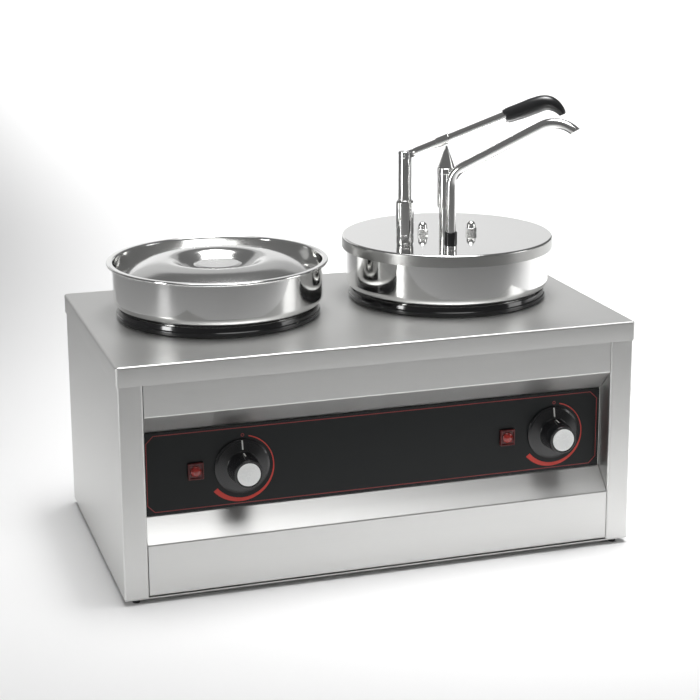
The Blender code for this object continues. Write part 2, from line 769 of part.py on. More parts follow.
def make_feet():
    rubber = material("foot_rubber", (0.04, 0.04, 0.04), 0.7)
    height = FOOT_HEIGHT - SEAT_GAP
    profile = [(0, height), (FOOT_TOP_RADIUS, height), (FOOT_BOTTOM_RADIUS, 0), (0, 0)]
    for side, side_name in ((-1, "left"), (1, "right")):
        for end, end_name in ((-1, "front"), (1, "back")):
            turned(
                f"foot_{end_name}_{side_name}", profile, rubber, SMALL_STEPS,
                (side * (BODY_HALF_X - FOOT_INSET_X), end * (BODY_HALF_Y - FOOT_INSET_Y), 0), closed=False,
            )


def make_thermostat(name, x):
    """A thermostat behind the recessed flat, its threaded bush through panel and fascia."""
    face = RECESS_Y + SHEET + SEAT_GAP
    bush_front = FASCIA_Y
    body = place(
        name, box_data(name, (THERMOSTAT_WIDTH, THERMOSTAT_DEPTH, THERMOSTAT_HEIGHT)),
        material(name + "_casing", (0.55, 0.52, 0.45), 0.45),
        (x, face + THERMOSTAT_DEPTH / 2, CONTROL_Z),
    )
    bevel(body, THERMOSTAT_EDGE, 1)
    turn = (math.pi / 2, 0, 0)
    bush_back = face + THERMOSTAT_DEPTH / 2
    bush = place_cutter(
        name + "_bush", rod_data(name + "_bush", THERMOSTAT_BUSH_RADIUS, bush_back - bush_front, SMALL_STEPS),
        (x, (bush_front + bush_back) / 2, CONTROL_Z), turn,
    )
    combine(body, bush, "UNION")
    depth = SPINDLE_IN_BUSH + SEAT_GAP
    drill(
        body, name + "_bore", (x, bush_front + (depth - CUT_OVERRUN) / 2, CONTROL_Z),
        SPINDLE_RADIUS + SEAT_GAP, depth + CUT_OVERRUN, turn,
    )


def make_knob(side_name, x):
    """A round control knob: a skirt, a fluted hub and a pressed-in cap, on its flatted spindle."""
    turn = (math.pi / 2, 0, 0)
    origin = (x, FASCIA_Y, CONTROL_Z)
    base = KNOB_CLEARANCE
    seat = KNOB_HEIGHT - KNOB_CAP_SEAT
    skirt_top = base + KNOB_SKIRT_THICKNESS
    crown = skirt_top + KNOB_SKIRT_CROWN
    bore = SPINDLE_RADIUS + SEAT_GAP
    bore_end = base + SPINDLE_IN_KNOB + SEAT_GAP
    cap_bore = KNOB_CAP_RADIUS + SEAT_GAP
    profile = [
        (0, seat), (cap_bore, seat), (cap_bore, KNOB_HEIGHT),
        (KNOB_FACE_RADIUS - KNOB_EDGE, KNOB_HEIGHT), (KNOB_FACE_RADIUS, KNOB_HEIGHT - KNOB_EDGE),
        (KNOB_HUB_RADIUS, crown + KNOB_EDGE), (KNOB_HUB_RADIUS + KNOB_EDGE, crown),
        (KNOB_SKIRT_RADIUS - KNOB_EDGE, skirt_top), (KNOB_SKIRT_RADIUS, skirt_top - KNOB_EDGE),
        (KNOB_SKIRT_RADIUS, base), (bore, base), (bore, bore_end), (0, bore_end),
    ]
    turned(
        "knob_" + side_name, profile, material("knob_black", (0.012, 0.012, 0.012), 0.18), MEDIUM_STEPS,
        origin, turn, closed=False,
    )
    cap_base = seat + SEAT_GAP
    cap_top = KNOB_HEIGHT + KNOB_CAP_PROUD
    cap = [
        (0, cap_top), (KNOB_CAP_RADIUS - KNOB_EDGE, cap_top - KNOB_CAP_PROUD / 4),
        (KNOB_CAP_RADIUS, cap_top - KNOB_CAP_PROUD), (KNOB_CAP_RADIUS, cap_base), (0, cap_base),
    ]
    turned(
        "knob_cap_" + side_name, cap, material("cap_white", (0.9, 0.9, 0.9), 0.3), MEDIUM_STEPS,
        origin, turn, closed=False,
    )
    length = SPINDLE_IN_BUSH + base + SPINDLE_IN_KNOB
    spindle = place(
        "spindle_" + side_name, rod_data("spindle", SPINDLE_RADIUS, length, SMALL_STEPS),
        steel("spindle_steel", 0.55, 0.35),
        (x, FASCIA_Y + SPINDLE_IN_BUSH - length / 2, CONTROL_Z), turn,
    )
    flat = SPINDLE_RADIUS
    slot(
        spindle, "spindle_flat",
        (x, FASCIA_Y - base - SPINDLE_IN_KNOB / 2, CONTROL_Z + SPINDLE_RADIUS - SPINDLE_FLAT + flat / 2),
        (2 * SPINDLE_RADIUS + CUT_OVERRUN, SPINDLE_IN_KNOB + CUT_OVERRUN, flat),
    )


def make_lamp(side_name, x):
    """A neon lamp: a square bezel on the fascia and a red lens on its barrel through the panel."""
    bezel = place(
        "lamp_bezel_" + side_name, box_data("lamp_bezel", (BEZEL_WIDTH, BEZEL_DEPTH, BEZEL_HEIGHT)),
        material("bezel_black", (0.015, 0.015, 0.015), 0.3),
        (x, FASCIA_Y - SEAT_GAP - BEZEL_DEPTH / 2, CONTROL_Z),
    )
    bevel(bezel, BEZEL_EDGE, 2)
    drill(
        bezel, "bezel_bore", (x, FASCIA_Y - BEZEL_DEPTH / 2, CONTROL_Z), LAMP_RADIUS + SEAT_GAP,
        BEZEL_DEPTH + 2 * CUT_OVERRUN, (math.pi / 2, 0, 0), MEDIUM_STEPS,
    )
    rim = BEZEL_DEPTH
    profile = [
        (0, rim + LAMP_DOME), (LAMP_RADIUS / 2, rim + LAMP_DOME * 0.75), (LAMP_RADIUS * 0.85, rim + LAMP_DOME * 0.35),
        (LAMP_RADIUS, rim), (LAMP_RADIUS, -LAMP_BARREL), (0, -LAMP_BARREL),
    ]
    turned(
        "lamp_" + side_name, profile, material("lamp_red", (0.35, 0.02, 0.02), 0.2), SMALL_STEPS,
        (x, FASCIA_Y, CONTROL_Z), (math.pi / 2, 0, 0), closed=False,
    )


def make_ring(name, x):
    """The black ring that seals the hole and carries the pot's shoulder."""
    lip_radius = RING_BORE + RING_LIP
    profile = [
        (RING_BORE, RING_TOP), (RING_RADIUS - RING_EDGE, RING_TOP), (RING_RADIUS, RING_TOP - RING_EDGE),
        (RING_RADIUS, RING_BASE), (lip_radius, RING_BASE), (lip_radius, RING_BASE - RING_LIP_DEPTH),
        (RING_BORE, RING_BASE - RING_LIP_DEPTH),
    ]
    turned(name, profile, material("ring_black", (0.012, 0.012, 0.012), 0.15), LARGE_STEPS, (x, POT_Y, 0))


def make_well(name, x):
    """The heated tank under each hole, flanged under the top sheet."""
    corner = (WELL_RADIUS - WELL_CORNER, WELL_BASE + WELL_CORNER)
    wall = [(WELL_RADIUS + WELL_FLANGE, WELL_TOP), (WELL_RADIUS, WELL_TOP)]
    wall += arc(corner, WELL_CORNER, 0, -90, 1)
    wall += [(0, WELL_BASE)]
    outer = offset_path(wall, WELL_SHEET)
    profile = wall[::-1] + outer
    turned(name, profile, steel(name + "_steel", 0.6, 0.3), WELL_STEPS, (x, POT_Y, 0), closed=False)


def make_heater(name, x):
    """A ring heating element under the well, its two tails turned down."""
    half = math.radians(HEATER_OPENING_DEG) / 2
    z = WELL_BASE - WELL_SHEET - SEAT_GAP - HEATER_WIRE_RADIUS
    points = []
    count = MEDIUM_STEPS
    for index in range(count + 1):
        angle = -math.pi / 2 + half + (math.tau - 2 * half) * index / count
        points.append(Vector((HEATER_RADIUS * math.cos(angle), HEATER_RADIUS * math.sin(angle), 0)))
    first, last = points[0], points[-1]
    tail = Vector((0, 0, -HEATER_TAIL))
    points = [first + tail, first + tail / 4] + points[1:-1] + [last + tail / 4, last + tail]
    curve = tube_curve(name, points, HEATER_WIRE_RADIUS, resolution=2)
    curve_to_part(name, curve, material(name + "_sheath", (0.25, 0.24, 0.22), 0.45, 0.8), (x, POT_Y, z))


def pot_profile(rim_radius, rim_z):
    """Inner face of a stepped pot from its middle up to the rim's curl, and the outer face back down."""
    inner_low = POT_LOWER_RADIUS - POT_SHEET
    inner_high = POT_RADIUS - POT_SHEET
    floor = POT_BASE + POT_SHEET
    bend = SHOULDER_BEND - POT_SHEET
    ledge = SHOULDER_Z + POT_SHEET
    inner = [(0, floor)]
    inner += arc((inner_low - POT_CORNER, floor + POT_CORNER), POT_CORNER, -90, 0, 1)
    inner += [(inner_low, ledge)]
    inner += arc((inner_high - bend, ledge + bend), bend, -60, 0, 2)
    inner += [(inner_high, rim_z - 2 * RIM_CURL), (inner_high + RIM_CURL, rim_z)]
    curl = rim_radius - RIM_CURL
    inner += arc((curl, rim_z - RIM_CURL), RIM_CURL, 90, -30, 2)
    outer = offset_path(inner, -POT_SHEET)
    return inner + outer[::-1]


def make_pots():
    turned(
        "pot_left", pot_profile(RIM_RADIUS_LEFT, RIM_LEFT_Z), steel("pot_left_steel", 0.7, 0.12), LARGE_STEPS,
        (POT_LEFT_X, POT_Y, 0), closed=False,
    )
    turned(
        "pot_right", pot_profile(RIM_RADIUS_RIGHT, RIM_RIGHT_Z), steel("pot_right_steel", 0.7, 0.12), LARGE_STEPS,
        (POT_RIGHT_X, POT_Y, 0), closed=False,
    )


def make_pot_lid():
    """The sunken lid: a domed ring round a deep dish, with a skirt that stands on the pot's shoulder."""
    edge_radius = POT_RADIUS - POT_SHEET - LID_EDGE_GAP
    edge_z = RIM_LEFT_Z - LID_EDGE_DROP
    crest_z = RIM_LEFT_Z + LID_CREST_RISE
    dish_floor = crest_z - LID_DISH_DEPTH
    bend = SHOULDER_BEND - POT_SHEET
    shoulder_middle = SHOULDER_Z + SHOULDER_BEND
    shoulder_in = POT_RADIUS - POT_SHEET - bend * (1 - math.cos(math.radians(30)))
    share = (edge_radius + SEAT_GAP - shoulder_in) / (POT_RADIUS - POT_SHEET - shoulder_in)
    foot = shoulder_middle - bend / 2 * (1 - share)
    rise = crest_z - edge_z
    span = edge_radius - LID_CREST_RADIUS
    path = [
        (0, dish_floor), (LID_DISH_FLOOR_RADIUS / 2, dish_floor),
        (LID_DISH_FLOOR_RADIUS, dish_floor + LID_DISH_DEPTH / 12),
        ((LID_DISH_FLOOR_RADIUS + LID_DISH_RADIUS) / 2, dish_floor + LID_DISH_DEPTH * 0.42),
        (LID_DISH_RADIUS, crest_z - LID_DISH_DEPTH / 12), (LID_CREST_RADIUS, crest_z),
    ]
    dome_shares = ((0.30, 0.09), (0.56, 0.32), (0.80, 0.65))
    for share_out, share_down in dome_shares:
        path.append((LID_CREST_RADIUS + span * share_out, crest_z - rise * share_down))
    path += [(edge_radius, edge_z - LID_SHEET), (edge_radius, foot)]
    turned(
        "pot_lid", path + offset_path(path, -LID_SHEET)[::-1], steel("lid_steel", 0.75, 0.15), LARGE_STEPS,
        (POT_LEFT_X, POT_Y, 0), closed=False,
    )
    top = RIM_LEFT_Z - LID_KNOB_TOP_DROP
    under = top - LID_KNOB_THICKNESS
    base = dish_floor + SEAT_GAP
    rim = LID_KNOB_RADIUS
    edge = LID_KNOB_THICKNESS / 3
    knob = [
        (0, top), (rim - 2 * edge, top), (rim, top - edge), (rim, under + edge), (rim - edge, under),
        (LID_STEM_RADIUS + edge, under - edge), (LID_STEM_RADIUS, under - 2 * edge), (LID_STEM_RADIUS, base),
        (0, base),
    ]
    turned(
        "lid_knob", knob, steel("lid_knob_steel", 0.6, 0.25), MEDIUM_STEPS, (POT_LEFT_X, POT_Y, 0), closed=False,
    )


def nut_places():
    angle = math.radians(NUT_ANGLE_DEG)
    away = Vector((math.cos(angle), math.sin(angle), 0)) * NUT_RADIUS_AT
    return (("cap_nut_left", LID_CENTRE - away), ("cap_nut_right", LID_CENTRE + away))


def make_pump_lid():
    """The flat lid with a short skirt, drilled for the post, pump, spout and studs."""
    edge = PUMP_LID_RADIUS
    path = [(0, PUMP_LID_Z)]
    path += arc((edge - PUMP_LID_BEND, PUMP_LID_Z - PUMP_LID_BEND), PUMP_LID_BEND, 90, 0, 2)
    path += [(edge, PUMP_LID_Z - PUMP_LID_SKIRT)]
    lid = turned(
        "pump_lid", path + offset_path(path, -PUMP_LID_SHEET)[::-1], steel("pump_lid_steel", 0.8, 0.1),
        LARGE_STEPS, (POT_RIGHT_X, POT_Y, 0), closed=False,
    )
    depth = 2 * (PUMP_LID_SHEET + CUT_OVERRUN)
    drill(lid, "post_hole", POST_AXIS, POST_RADIUS + SEAT_GAP, depth)
    drill(lid, "guide_hole", PUMP_AXIS, GUIDE_RADIUS + SEAT_GAP, depth)
    drill(lid, "spout_hole", SPOUT_AXIS, SPOUT_RADIUS + SEAT_GAP, depth)
    for name, centre in nut_places():
        drill(lid, name + "_hole", centre, STUD_RADIUS + SEAT_GAP, depth)


def make_bracket():
    """The plate under the lid that the studs clamp, carrying the post and the pump."""
    circles = [(centre.x, centre.y, STUD_RADIUS + BRACKET_MARGIN) for _, centre in nut_places()]
    circles += [
        (POST_AXIS.x, POST_AXIS.y, POST_RADIUS + BRACKET_MARGIN / 2),
        (PUMP_AXIS.x, PUMP_AXIS.y, GUIDE_RADIUS + BRACKET_MARGIN),
        (SPOUT_AXIS.x, SPOUT_AXIS.y, SPOUT_RADIUS + BRACKET_MARGIN / 2),
    ]
    holes = [(centre.x, centre.y, STUD_RADIUS + SEAT_GAP) for _, centre in nut_places()]
    holes += [
        (PUMP_AXIS.x, PUMP_AXIS.y, GUIDE_RADIUS + SEAT_GAP),
        (SPOUT_AXIS.x, SPOUT_AXIS.y, SPOUT_RADIUS + SEAT_GAP),
    ]
    flat_plate("pump_bracket", hull(circles), steel("bracket_steel", 0.6, 0.3), BRACKET_BASE, BRACKET_THICKNESS, holes)


def make_cap_nuts():
    """Domed nuts on studs that clamp the bracket under the lid."""
    hexagon_radius = NUT_HEX / math.sqrt(3)
    dome_radius = NUT_HEX / 2 * 0.94
    base = SEAT_GAP
    below = BRACKET_BASE - PUMP_LID_Z
    for name, centre in nut_places():
        dome_base = NUT_HEIGHT - dome_radius
        profile = [(0, NUT_HEIGHT)]
        profile += arc((0, dome_base), dome_radius, 60, 0, 2)
        profile += [(dome_radius, NUT_HEX_HEIGHT / 2), (STUD_RADIUS, base), (STUD_RADIUS, below), (0, below)]
        nut = turned(name, profile, steel(name + "_steel", 0.75, 0.12), SMALL_STEPS, centre, closed=False)
        flats = place_cutter(
            name + "_flats", rod_data(name + "_flats", hexagon_radius, NUT_HEX_HEIGHT, 6),
            centre + Vector((0, 0, base + NUT_HEX_HEIGHT / 2)),
        )
        combine(nut, flats, "UNION")


def make_post():
    """The slotted post that the lever hinges in, the sleeve round its foot and the hinge pin."""
    foot = BRACKET_TOP + SEAT_GAP - PUMP_LID_Z
    top_edge = POST_RADIUS / 8
    profile = [
        (0, POST_HEIGHT), (POST_RADIUS - top_edge, POST_HEIGHT), (POST_RADIUS, POST_HEIGHT - top_edge),
        (POST_RADIUS, foot), (0, foot),
    ]
    post = turned("pivot_post", profile, steel("post_steel", 0.7, 0.12), MEDIUM_STEPS, POST_AXIS, closed=False)
    depth = CLEVIS_DEPTH + CUT_OVERRUN
    tool = place_cutter(
        "clevis_slot", box_data("clevis_slot", (2 * (POST_RADIUS + CUT_OVERRUN), CLEVIS_SLOT, depth)),
        POST_AXIS + Vector((0, 0, POST_HEIGHT + CUT_OVERRUN - depth / 2)), (0, 0, LEVER_TURN),
    )
    combine(post, tool)
    across = (math.pi / 2, 0, LEVER_TURN)
    drill(
        post, "pin_hole", PIVOT, PIVOT_PIN_RADIUS + SEAT_GAP, 2 * (POST_RADIUS + CUT_OVERRUN), across, SMALL_STEPS,
    )
    place(
        "pivot_pin", rod_data("pivot_pin", PIVOT_PIN_RADIUS, 2 * (POST_RADIUS + PIVOT_PIN_HEAD), SMALL_STEPS),
        steel("pin_steel", 0.65, 0.2), PIVOT, across,
    )
    bore = POST_RADIUS + SEAT_GAP
    groove = POST_SLEEVE_RADIUS - POST_GROOVE
    edge = POST_GROOVE
    sleeve = [
        (bore, POST_SLEEVE_HEIGHT), (POST_SLEEVE_RADIUS - 2 * edge, POST_SLEEVE_HEIGHT),
        (POST_SLEEVE_RADIUS, POST_SLEEVE_HEIGHT - 3 * edge),
        (POST_SLEEVE_RADIUS, POST_GROOVE_HEIGHT + edge), (groove, POST_GROOVE_HEIGHT),
        (POST_SLEEVE_RADIUS, POST_GROOVE_HEIGHT - edge), (POST_SLEEVE_RADIUS, SEAT_GAP), (bore, SEAT_GAP),
    ]
    turned("post_sleeve", sleeve, steel("sleeve_steel", 0.7, 0.12), MEDIUM_STEPS, POST_AXIS)


def lever_point(along, up=0.0, aside=0.0):
    """A point given along the lever, square up from it and aside, in the object's axes."""
    flat = along * math.cos(LEVER_ANGLE) - up * math.sin(LEVER_ANGLE)
    rise = along * math.sin(LEVER_ANGLE) + up * math.cos(LEVER_ANGLE)
    ahead = Vector((math.cos(LEVER_TURN), math.sin(LEVER_TURN), 0))
    side = Vector((-math.sin(LEVER_TURN), math.cos(LEVER_TURN), 0))
    return PIVOT + ahead * flat + side * aside + Vector((0, 0, rise))


def lever_frame():
    """Turns a piece drawn along X, upright on Z, to lie along the lever."""
    return (Matrix.Rotation(LEVER_TURN, 4, "Z") @ Matrix.Rotation(-LEVER_ANGLE, 4, "Y")).to_euler()


def rod_along_lever(radius, start, end, steps, name):
    """A cylinder drawn along X from one distance to another."""
    mesh = rod_data(name, radius, end - start, steps)
    mesh.transform(Matrix.Translation(((start + end) / 2, 0, 0)) @ Matrix.Rotation(math.pi / 2, 4, "Y"))
    return mesh


def make_lever():
    """The lever: a flat tongue in the clevis and a round arm, with its wear sleeve and moulded grip."""
    frame = lever_frame()
    arm = place(
        "lever_arm", rod_along_lever(LEVER_RADIUS, LEVER_TUBE_START, LEVER_TUBE_END, SMALL_STEPS, "lever_arm"),
        steel("lever_steel", 0.7, 0.12), PIVOT, frame,
    )
    tongue_end = LEVER_TUBE_START + LEVER_TONGUE_RADIUS
    outline = [(tongue_end, -LEVER_TONGUE_RADIUS * 0.8), (tongue_end, LEVER_TONGUE_RADIUS * 0.8)]
    outline += arc((0, 0), LEVER_TONGUE_RADIUS, 90, 270, 8)
    tongue_mesh = bpy.data.meshes.new("lever_tongue")
    shape = bmesh.new()
    face = shape.faces.new([shape.verts.new((x, -LEVER_TONGUE / 2, z)) for x, z in outline])
    grown = bmesh.ops.extrude_face_region(shape, geom=[face])["geom"]
    sheet = [item for item in grown if isinstance(item, bmesh.types.BMVert)]
    bmesh.ops.translate(shape, verts=sheet, vec=(0, LEVER_TONGUE, 0))
    bmesh.ops.recalc_face_normals(shape, faces=shape.faces)
    shape.to_mesh(tongue_mesh)
    shape.free()
    combine(arm, place_cutter("lever_tongue", tongue_mesh, PIVOT, frame), "UNION")
    drill(
        arm, "tongue_hole", PIVOT, PIVOT_PIN_RADIUS + RUNNING_GAP, 2 * POST_RADIUS,
        (math.pi / 2, 0, LEVER_TURN), SMALL_STEPS,
    )

    length = WEAR_SLEEVE_END - WEAR_SLEEVE_START
    bore = LEVER_RADIUS + SEAT_GAP
    edge = (WEAR_SLEEVE_RADIUS - bore) / 2
    sleeve = [
        (bore, length), (WEAR_SLEEVE_RADIUS - edge, length), (WEAR_SLEEVE_RADIUS, length - edge),
        (WEAR_SLEEVE_RADIUS, edge), (WEAR_SLEEVE_RADIUS - edge, 0), (bore, 0),
    ]
    along = (Matrix.Rotation(LEVER_TURN, 4, "Z") @ Matrix.Rotation(math.pi / 2 - LEVER_ANGLE, 4, "Y")).to_euler()
    turned(
        "wear_sleeve", sleeve, steel("wear_sleeve_steel", 0.7, 0.12), SMALL_STEPS,
        lever_point(WEAR_SLEEVE_START), along,
    )

    route_shares = (
        (0.00, 0.05, 0.90), (0.03, 0.05, 0.95), (0.31, 0.09, 0.99), (0.55, 0.10, 1.00), (0.74, 0.14, 0.92),
        (0.86, 0.27, 0.84), (0.94, 0.52, 0.68), (0.98, 0.78, 0.52), (1.00, 0.97, 0.40), (1.00, 1.00, 0.24),
    )
    points = []
    radii = []
    for along_share, drop_share, radius_share in route_shares:
        points.append(Vector((GRIP_START + GRIP_LENGTH * along_share, 0, -GRIP_DROP * drop_share)))
        radii.append(radius_share)
    grip = curve_to_part(
        "lever_grip", tube_curve("lever_grip", points, GRIP_RADIUS, radii, 3),
        material("grip_black", (0.02, 0.02, 0.02), 0.35), PIVOT, frame,
    )
    hole = rod_along_lever(
        LEVER_RADIUS + SEAT_GAP, GRIP_START - CUT_OVERRUN, LEVER_TUBE_END + SEAT_GAP, SMALL_STEPS, "grip_bore"
    )
    combine(grip, place_cutter("grip_bore", hole, PIVOT, frame))


def make_plunger():
    """The pointed plunger that the lever presses, its rod, piston and seal."""
    bore = GUIDE_RADIUS + RUNNING_GAP
    band = PLUNGER_RADIUS + PLUNGER_BAND_PROUD
    band_base = CONE_BASE - PLUNGER_BAND
    profile = [
        (0, PLUNGER_TIP), (PLUNGER_TIP_RADIUS, PLUNGER_TIP), (PLUNGER_RADIUS, CONE_BASE), (band, CONE_BASE),
        (band, band_base), (PLUNGER_RADIUS, band_base), (PLUNGER_RADIUS, PLUNGER_BASE), (bore, PLUNGER_BASE),
        (bore, PLUNGER_ROOF_Z), (0, PLUNGER_ROOF_Z),
    ]
    centre = (PUMP_AXIS.x, PUMP_AXIS.y, 0)
    turned("plunger_cap", profile, steel("plunger_steel", 0.75, 0.12), MEDIUM_STEPS, centre, closed=False)

    rod_top = PLUNGER_ROOF_Z - SEAT_GAP
    rod_base = PISTON_BASE + PISTON_HEIGHT / 2
    turned(
        "plunger_rod", [(0, rod_top), (ROD_RADIUS, rod_top), (ROD_RADIUS, rod_base), (0, rod_base)],
        steel("rod_steel", 0.65, 0.2), SMALL_STEPS, centre, closed=False,
    )

    side = CYLINDER_BORE - RUNNING_GAP
    groove = side - PISTON_SEAL_GROOVE
    middle = (PISTON_TOP + PISTON_BASE) / 2
    seal_top = middle + PISTON_SEAL_HEIGHT / 2
    seal_base = middle - PISTON_SEAL_HEIGHT / 2
    hole = ROD_RADIUS + SEAT_GAP
    piston = [
        (hole, PISTON_TOP), (side, PISTON_TOP), (side, seal_top + SEAT_GAP), (groove, seal_top + SEAT_GAP),
        (groove, seal_base - SEAT_GAP), (side, seal_base - SEAT_GAP), (side, PISTON_BASE), (0, PISTON_BASE),
        (0, rod_base - SEAT_GAP), (hole, rod_base - SEAT_GAP),
    ]
    turned("piston", piston, material("piston_white", (0.85, 0.85, 0.82), 0.4), MEDIUM_STEPS, centre)
    seal = [
        (groove + SEAT_GAP, seal_top), (side, seal_top), (side, seal_base), (groove + SEAT_GAP, seal_base),
    ]
    turned("piston_seal", seal, material("seal_black", (0.03, 0.03, 0.03), 0.6), MEDIUM_STEPS, centre)


def riser_axis():
    """The riser stands on the spout's side of the cylinder."""
    away = (SPOUT_AXIS - PUMP_AXIS).normalized()
    return PUMP_AXIS + away * RISER_REACH


def make_pump_works():
    """The guide, head, cylinder, valve block, suction tube, riser and spring."""
    centre = (PUMP_AXIS.x, PUMP_AXIS.y, 0)
    riser = riser_axis()
    guide_base = HEAD_TOP + SEAT_GAP
    inner = ROD_RADIUS + RUNNING_GAP
    guide = [
        (inner, GUIDE_TOP), (GUIDE_RADIUS, GUIDE_TOP), (GUIDE_RADIUS, guide_base), (inner, guide_base),
    ]
    turned("guide_tube", guide, steel("guide_steel", 0.7, 0.15), MEDIUM_STEPS, centre)

    outline = hull([
        (PUMP_AXIS.x, PUMP_AXIS.y, CYLINDER_RADIUS + HEAD_MARGIN), (riser.x, riser.y, RISER_RADIUS + HEAD_MARGIN),
    ], MEDIUM_STEPS)
    plastic = material("pump_plastic", (0.85, 0.85, 0.82), 0.4)
    head = flat_plate(
        "pump_head", outline, plastic, HEAD_BASE, HEAD_THICKNESS, [(PUMP_AXIS.x, PUMP_AXIS.y, inner)],
    )
    socket = SOCKET_DEPTH + CUT_OVERRUN
    drill(
        head, "spout_socket", (SPOUT_AXIS.x, SPOUT_AXIS.y, HEAD_TOP + CUT_OVERRUN - socket / 2),
        SPOUT_RADIUS + SEAT_GAP, socket,
    )
    drill(
        head, "riser_socket", (riser.x, riser.y, HEAD_BASE - CUT_OVERRUN + socket / 2),
        RISER_RADIUS + SEAT_GAP, socket,
    )

    barrel = [
        (CYLINDER_BORE, CYLINDER_TOP), (CYLINDER_RADIUS, CYLINDER_TOP), (CYLINDER_RADIUS, CYLINDER_BASE),
        (CYLINDER_BORE, CYLINDER_BASE),
    ]
    turned("pump_cylinder", barrel, steel("cylinder_steel", 0.65, 0.2), MEDIUM_STEPS, centre)

    valve = flat_plate(
        "valve_block", outline, material("valve_plastic", (0.85, 0.85, 0.82), 0.4), VALVE_BASE, VALVE_THICKNESS,
        [(PUMP_AXIS.x, PUMP_AXIS.y, VALVE_INLET_RADIUS)],
    )
    chamber = VALVE_CHAMBER_DEPTH + CUT_OVERRUN
    drill(
        valve, "valve_chamber", (PUMP_AXIS.x, PUMP_AXIS.y, VALVE_TOP + CUT_OVERRUN - chamber / 2),
        VALVE_CHAMBER_RADIUS, chamber,
    )
    drill(
        valve, "riser_foot_socket", (riser.x, riser.y, VALVE_TOP + CUT_OVERRUN - socket / 2),
        RISER_RADIUS + SEAT_GAP, socket,
    )

    suction_top = VALVE_BASE - SEAT_GAP
    suction_base = POT_BASE + POT_SHEET + SUCTION_CLEARANCE
    suction_bore = SUCTION_RADIUS - SUCTION_WALL
    suction = [
        (suction_bore, suction_top), (SUCTION_RADIUS, suction_top), (SUCTION_RADIUS, suction_base),
        (suction_bore, suction_base),
    ]
    turned("suction_tube", suction, steel("suction_steel", 0.65, 0.2), SMALL_STEPS, centre)

    riser_top = HEAD_BASE + SOCKET_DEPTH - SEAT_GAP
    riser_base = VALVE_TOP - SOCKET_DEPTH + SEAT_GAP
    place(
        "riser_tube", rod_data("riser_tube", RISER_RADIUS, riser_top - riser_base, SMALL_STEPS),
        steel("riser_steel", 0.65, 0.2), (riser.x, riser.y, (riser_top + riser_base) / 2),
    )

    low = VALVE_TOP + SEAT_GAP + SPRING_WIRE_RADIUS
    high = PISTON_BASE - SEAT_GAP - SPRING_WIRE_RADIUS
    points = []
    count = SPRING_TURNS * SPRING_POINTS
    for index in range(count + 1):
        angle = math.tau * index / SPRING_POINTS
        height = low + (high - low) * index / count
        points.append((SPRING_RADIUS * math.cos(angle), SPRING_RADIUS * math.sin(angle), height))
    curve_to_part(
        "return_spring", tube_curve("return_spring", points, SPRING_WIRE_RADIUS, resolution=0),
        steel("spring_steel", 0.6, 0.25), centre,
    )


def spout_route():
    """The spout's centre line as (out, up) from its foot on the lid."""
    slope = math.radians(SPOUT_SLOPE_DEG)
    tip = math.radians(SPOUT_TIP_DEG)
    foot = HEAD_TOP - SOCKET_DEPTH + SEAT_GAP - PUMP_LID_Z
    route = [(0, foot)]
    route += arc((SPOUT_LOWER_BEND, SPOUT_RISE), SPOUT_LOWER_BEND, 180, 90 + SPOUT_SLOPE_DEG, 6)
    out, up = route[-1]
    out += SPOUT_STRAIGHT * math.cos(slope)
    up += SPOUT_STRAIGHT * math.sin(slope)
    centre = (out + SPOUT_UPPER_BEND * math.sin(slope), up - SPOUT_UPPER_BEND * math.cos(slope))
    route += arc(centre, SPOUT_UPPER_BEND, 90 + SPOUT_SLOPE_DEG, 90 + SPOUT_TIP_DEG, 6)
    out, up = route[-1]
    route.append((out + SPOUT_TIP * math.cos(tip), up + SPOUT_TIP * math.sin(tip)))
    return route


def make_spout():
    """The discharge tube, bent twice and cut at a slant, with its bushing and ferrule on the lid."""
    turn = (0, 0, math.radians(SPOUT_TURN_DEG))
    route = spout_route()
    points = [(out, 0, up) for out, up in route]
    tube = curve_to_part(
        "spout_tube", tube_curve("spout_tube", points, SPOUT_RADIUS), steel("spout_steel", 0.7, 0.12),
        SPOUT_AXIS, turn,
    )
    tip = Vector(points[-2])
    heading = math.radians(SPOUT_TIP_DEG)
    block = 4 * SPOUT_RADIUS
    cut = box_data("spout_cut", (block, block, block))
    cut.transform(
        Matrix.Translation(tip) @ Matrix.Rotation(math.radians(SPOUT_CUT_DEG) - heading, 4, "Y")
        @ Matrix.Translation((block / 2, 0, 0))
    )
    combine(tube, place_cutter("spout_cut", cut, SPOUT_AXIS, turn))
    bore_points = []
    left = SPOUT_BORE_LENGTH
    for near, far in zip(points[::-1], points[-2::-1]):
        bore_points.append(Vector(near))
        step = (Vector(far) - Vector(near))
        if step.length >= left:
            bore_points.append(Vector(near) + step.normalized() * left)
            break
        left -= step.length
    ahead = Vector((math.cos(heading), 0, math.sin(heading)))
    bore_points[0] = bore_points[0] + ahead * SPOUT_RADIUS
    bore = curve_to_part(
        "spout_bore", tube_curve("spout_bore", bore_points, SPOUT_RADIUS - SPOUT_WALL), None,
        SPOUT_AXIS, turn, as_cutter=True,
    )
    combine(tube, bore)

    inner = SPOUT_RADIUS + SEAT_GAP
    base = BUSHING_BASE
    top = base + BUSHING_HEIGHT
    edge = (BUSHING_RADIUS - inner) / 2
    bushing = [
        (inner, top), (BUSHING_RADIUS - edge, top), (BUSHING_RADIUS, top - edge), (BUSHING_RADIUS, base), (inner, base),
    ]
    turned("spout_bushing", bushing, material("bushing_black", (0.02, 0.02, 0.02), 0.4), SMALL_STEPS, SPOUT_AXIS)
    ferrule_top = base - SEAT_GAP
    ferrule = [
        (inner, ferrule_top), (FERRULE_RADIUS, ferrule_top), (FERRULE_RADIUS, SEAT_GAP), (inner, SEAT_GAP),
    ]
    turned("spout_ferrule", ferrule, steel("ferrule_steel", 0.7, 0.15), SMALL_STEPS, SPOUT_AXIS)


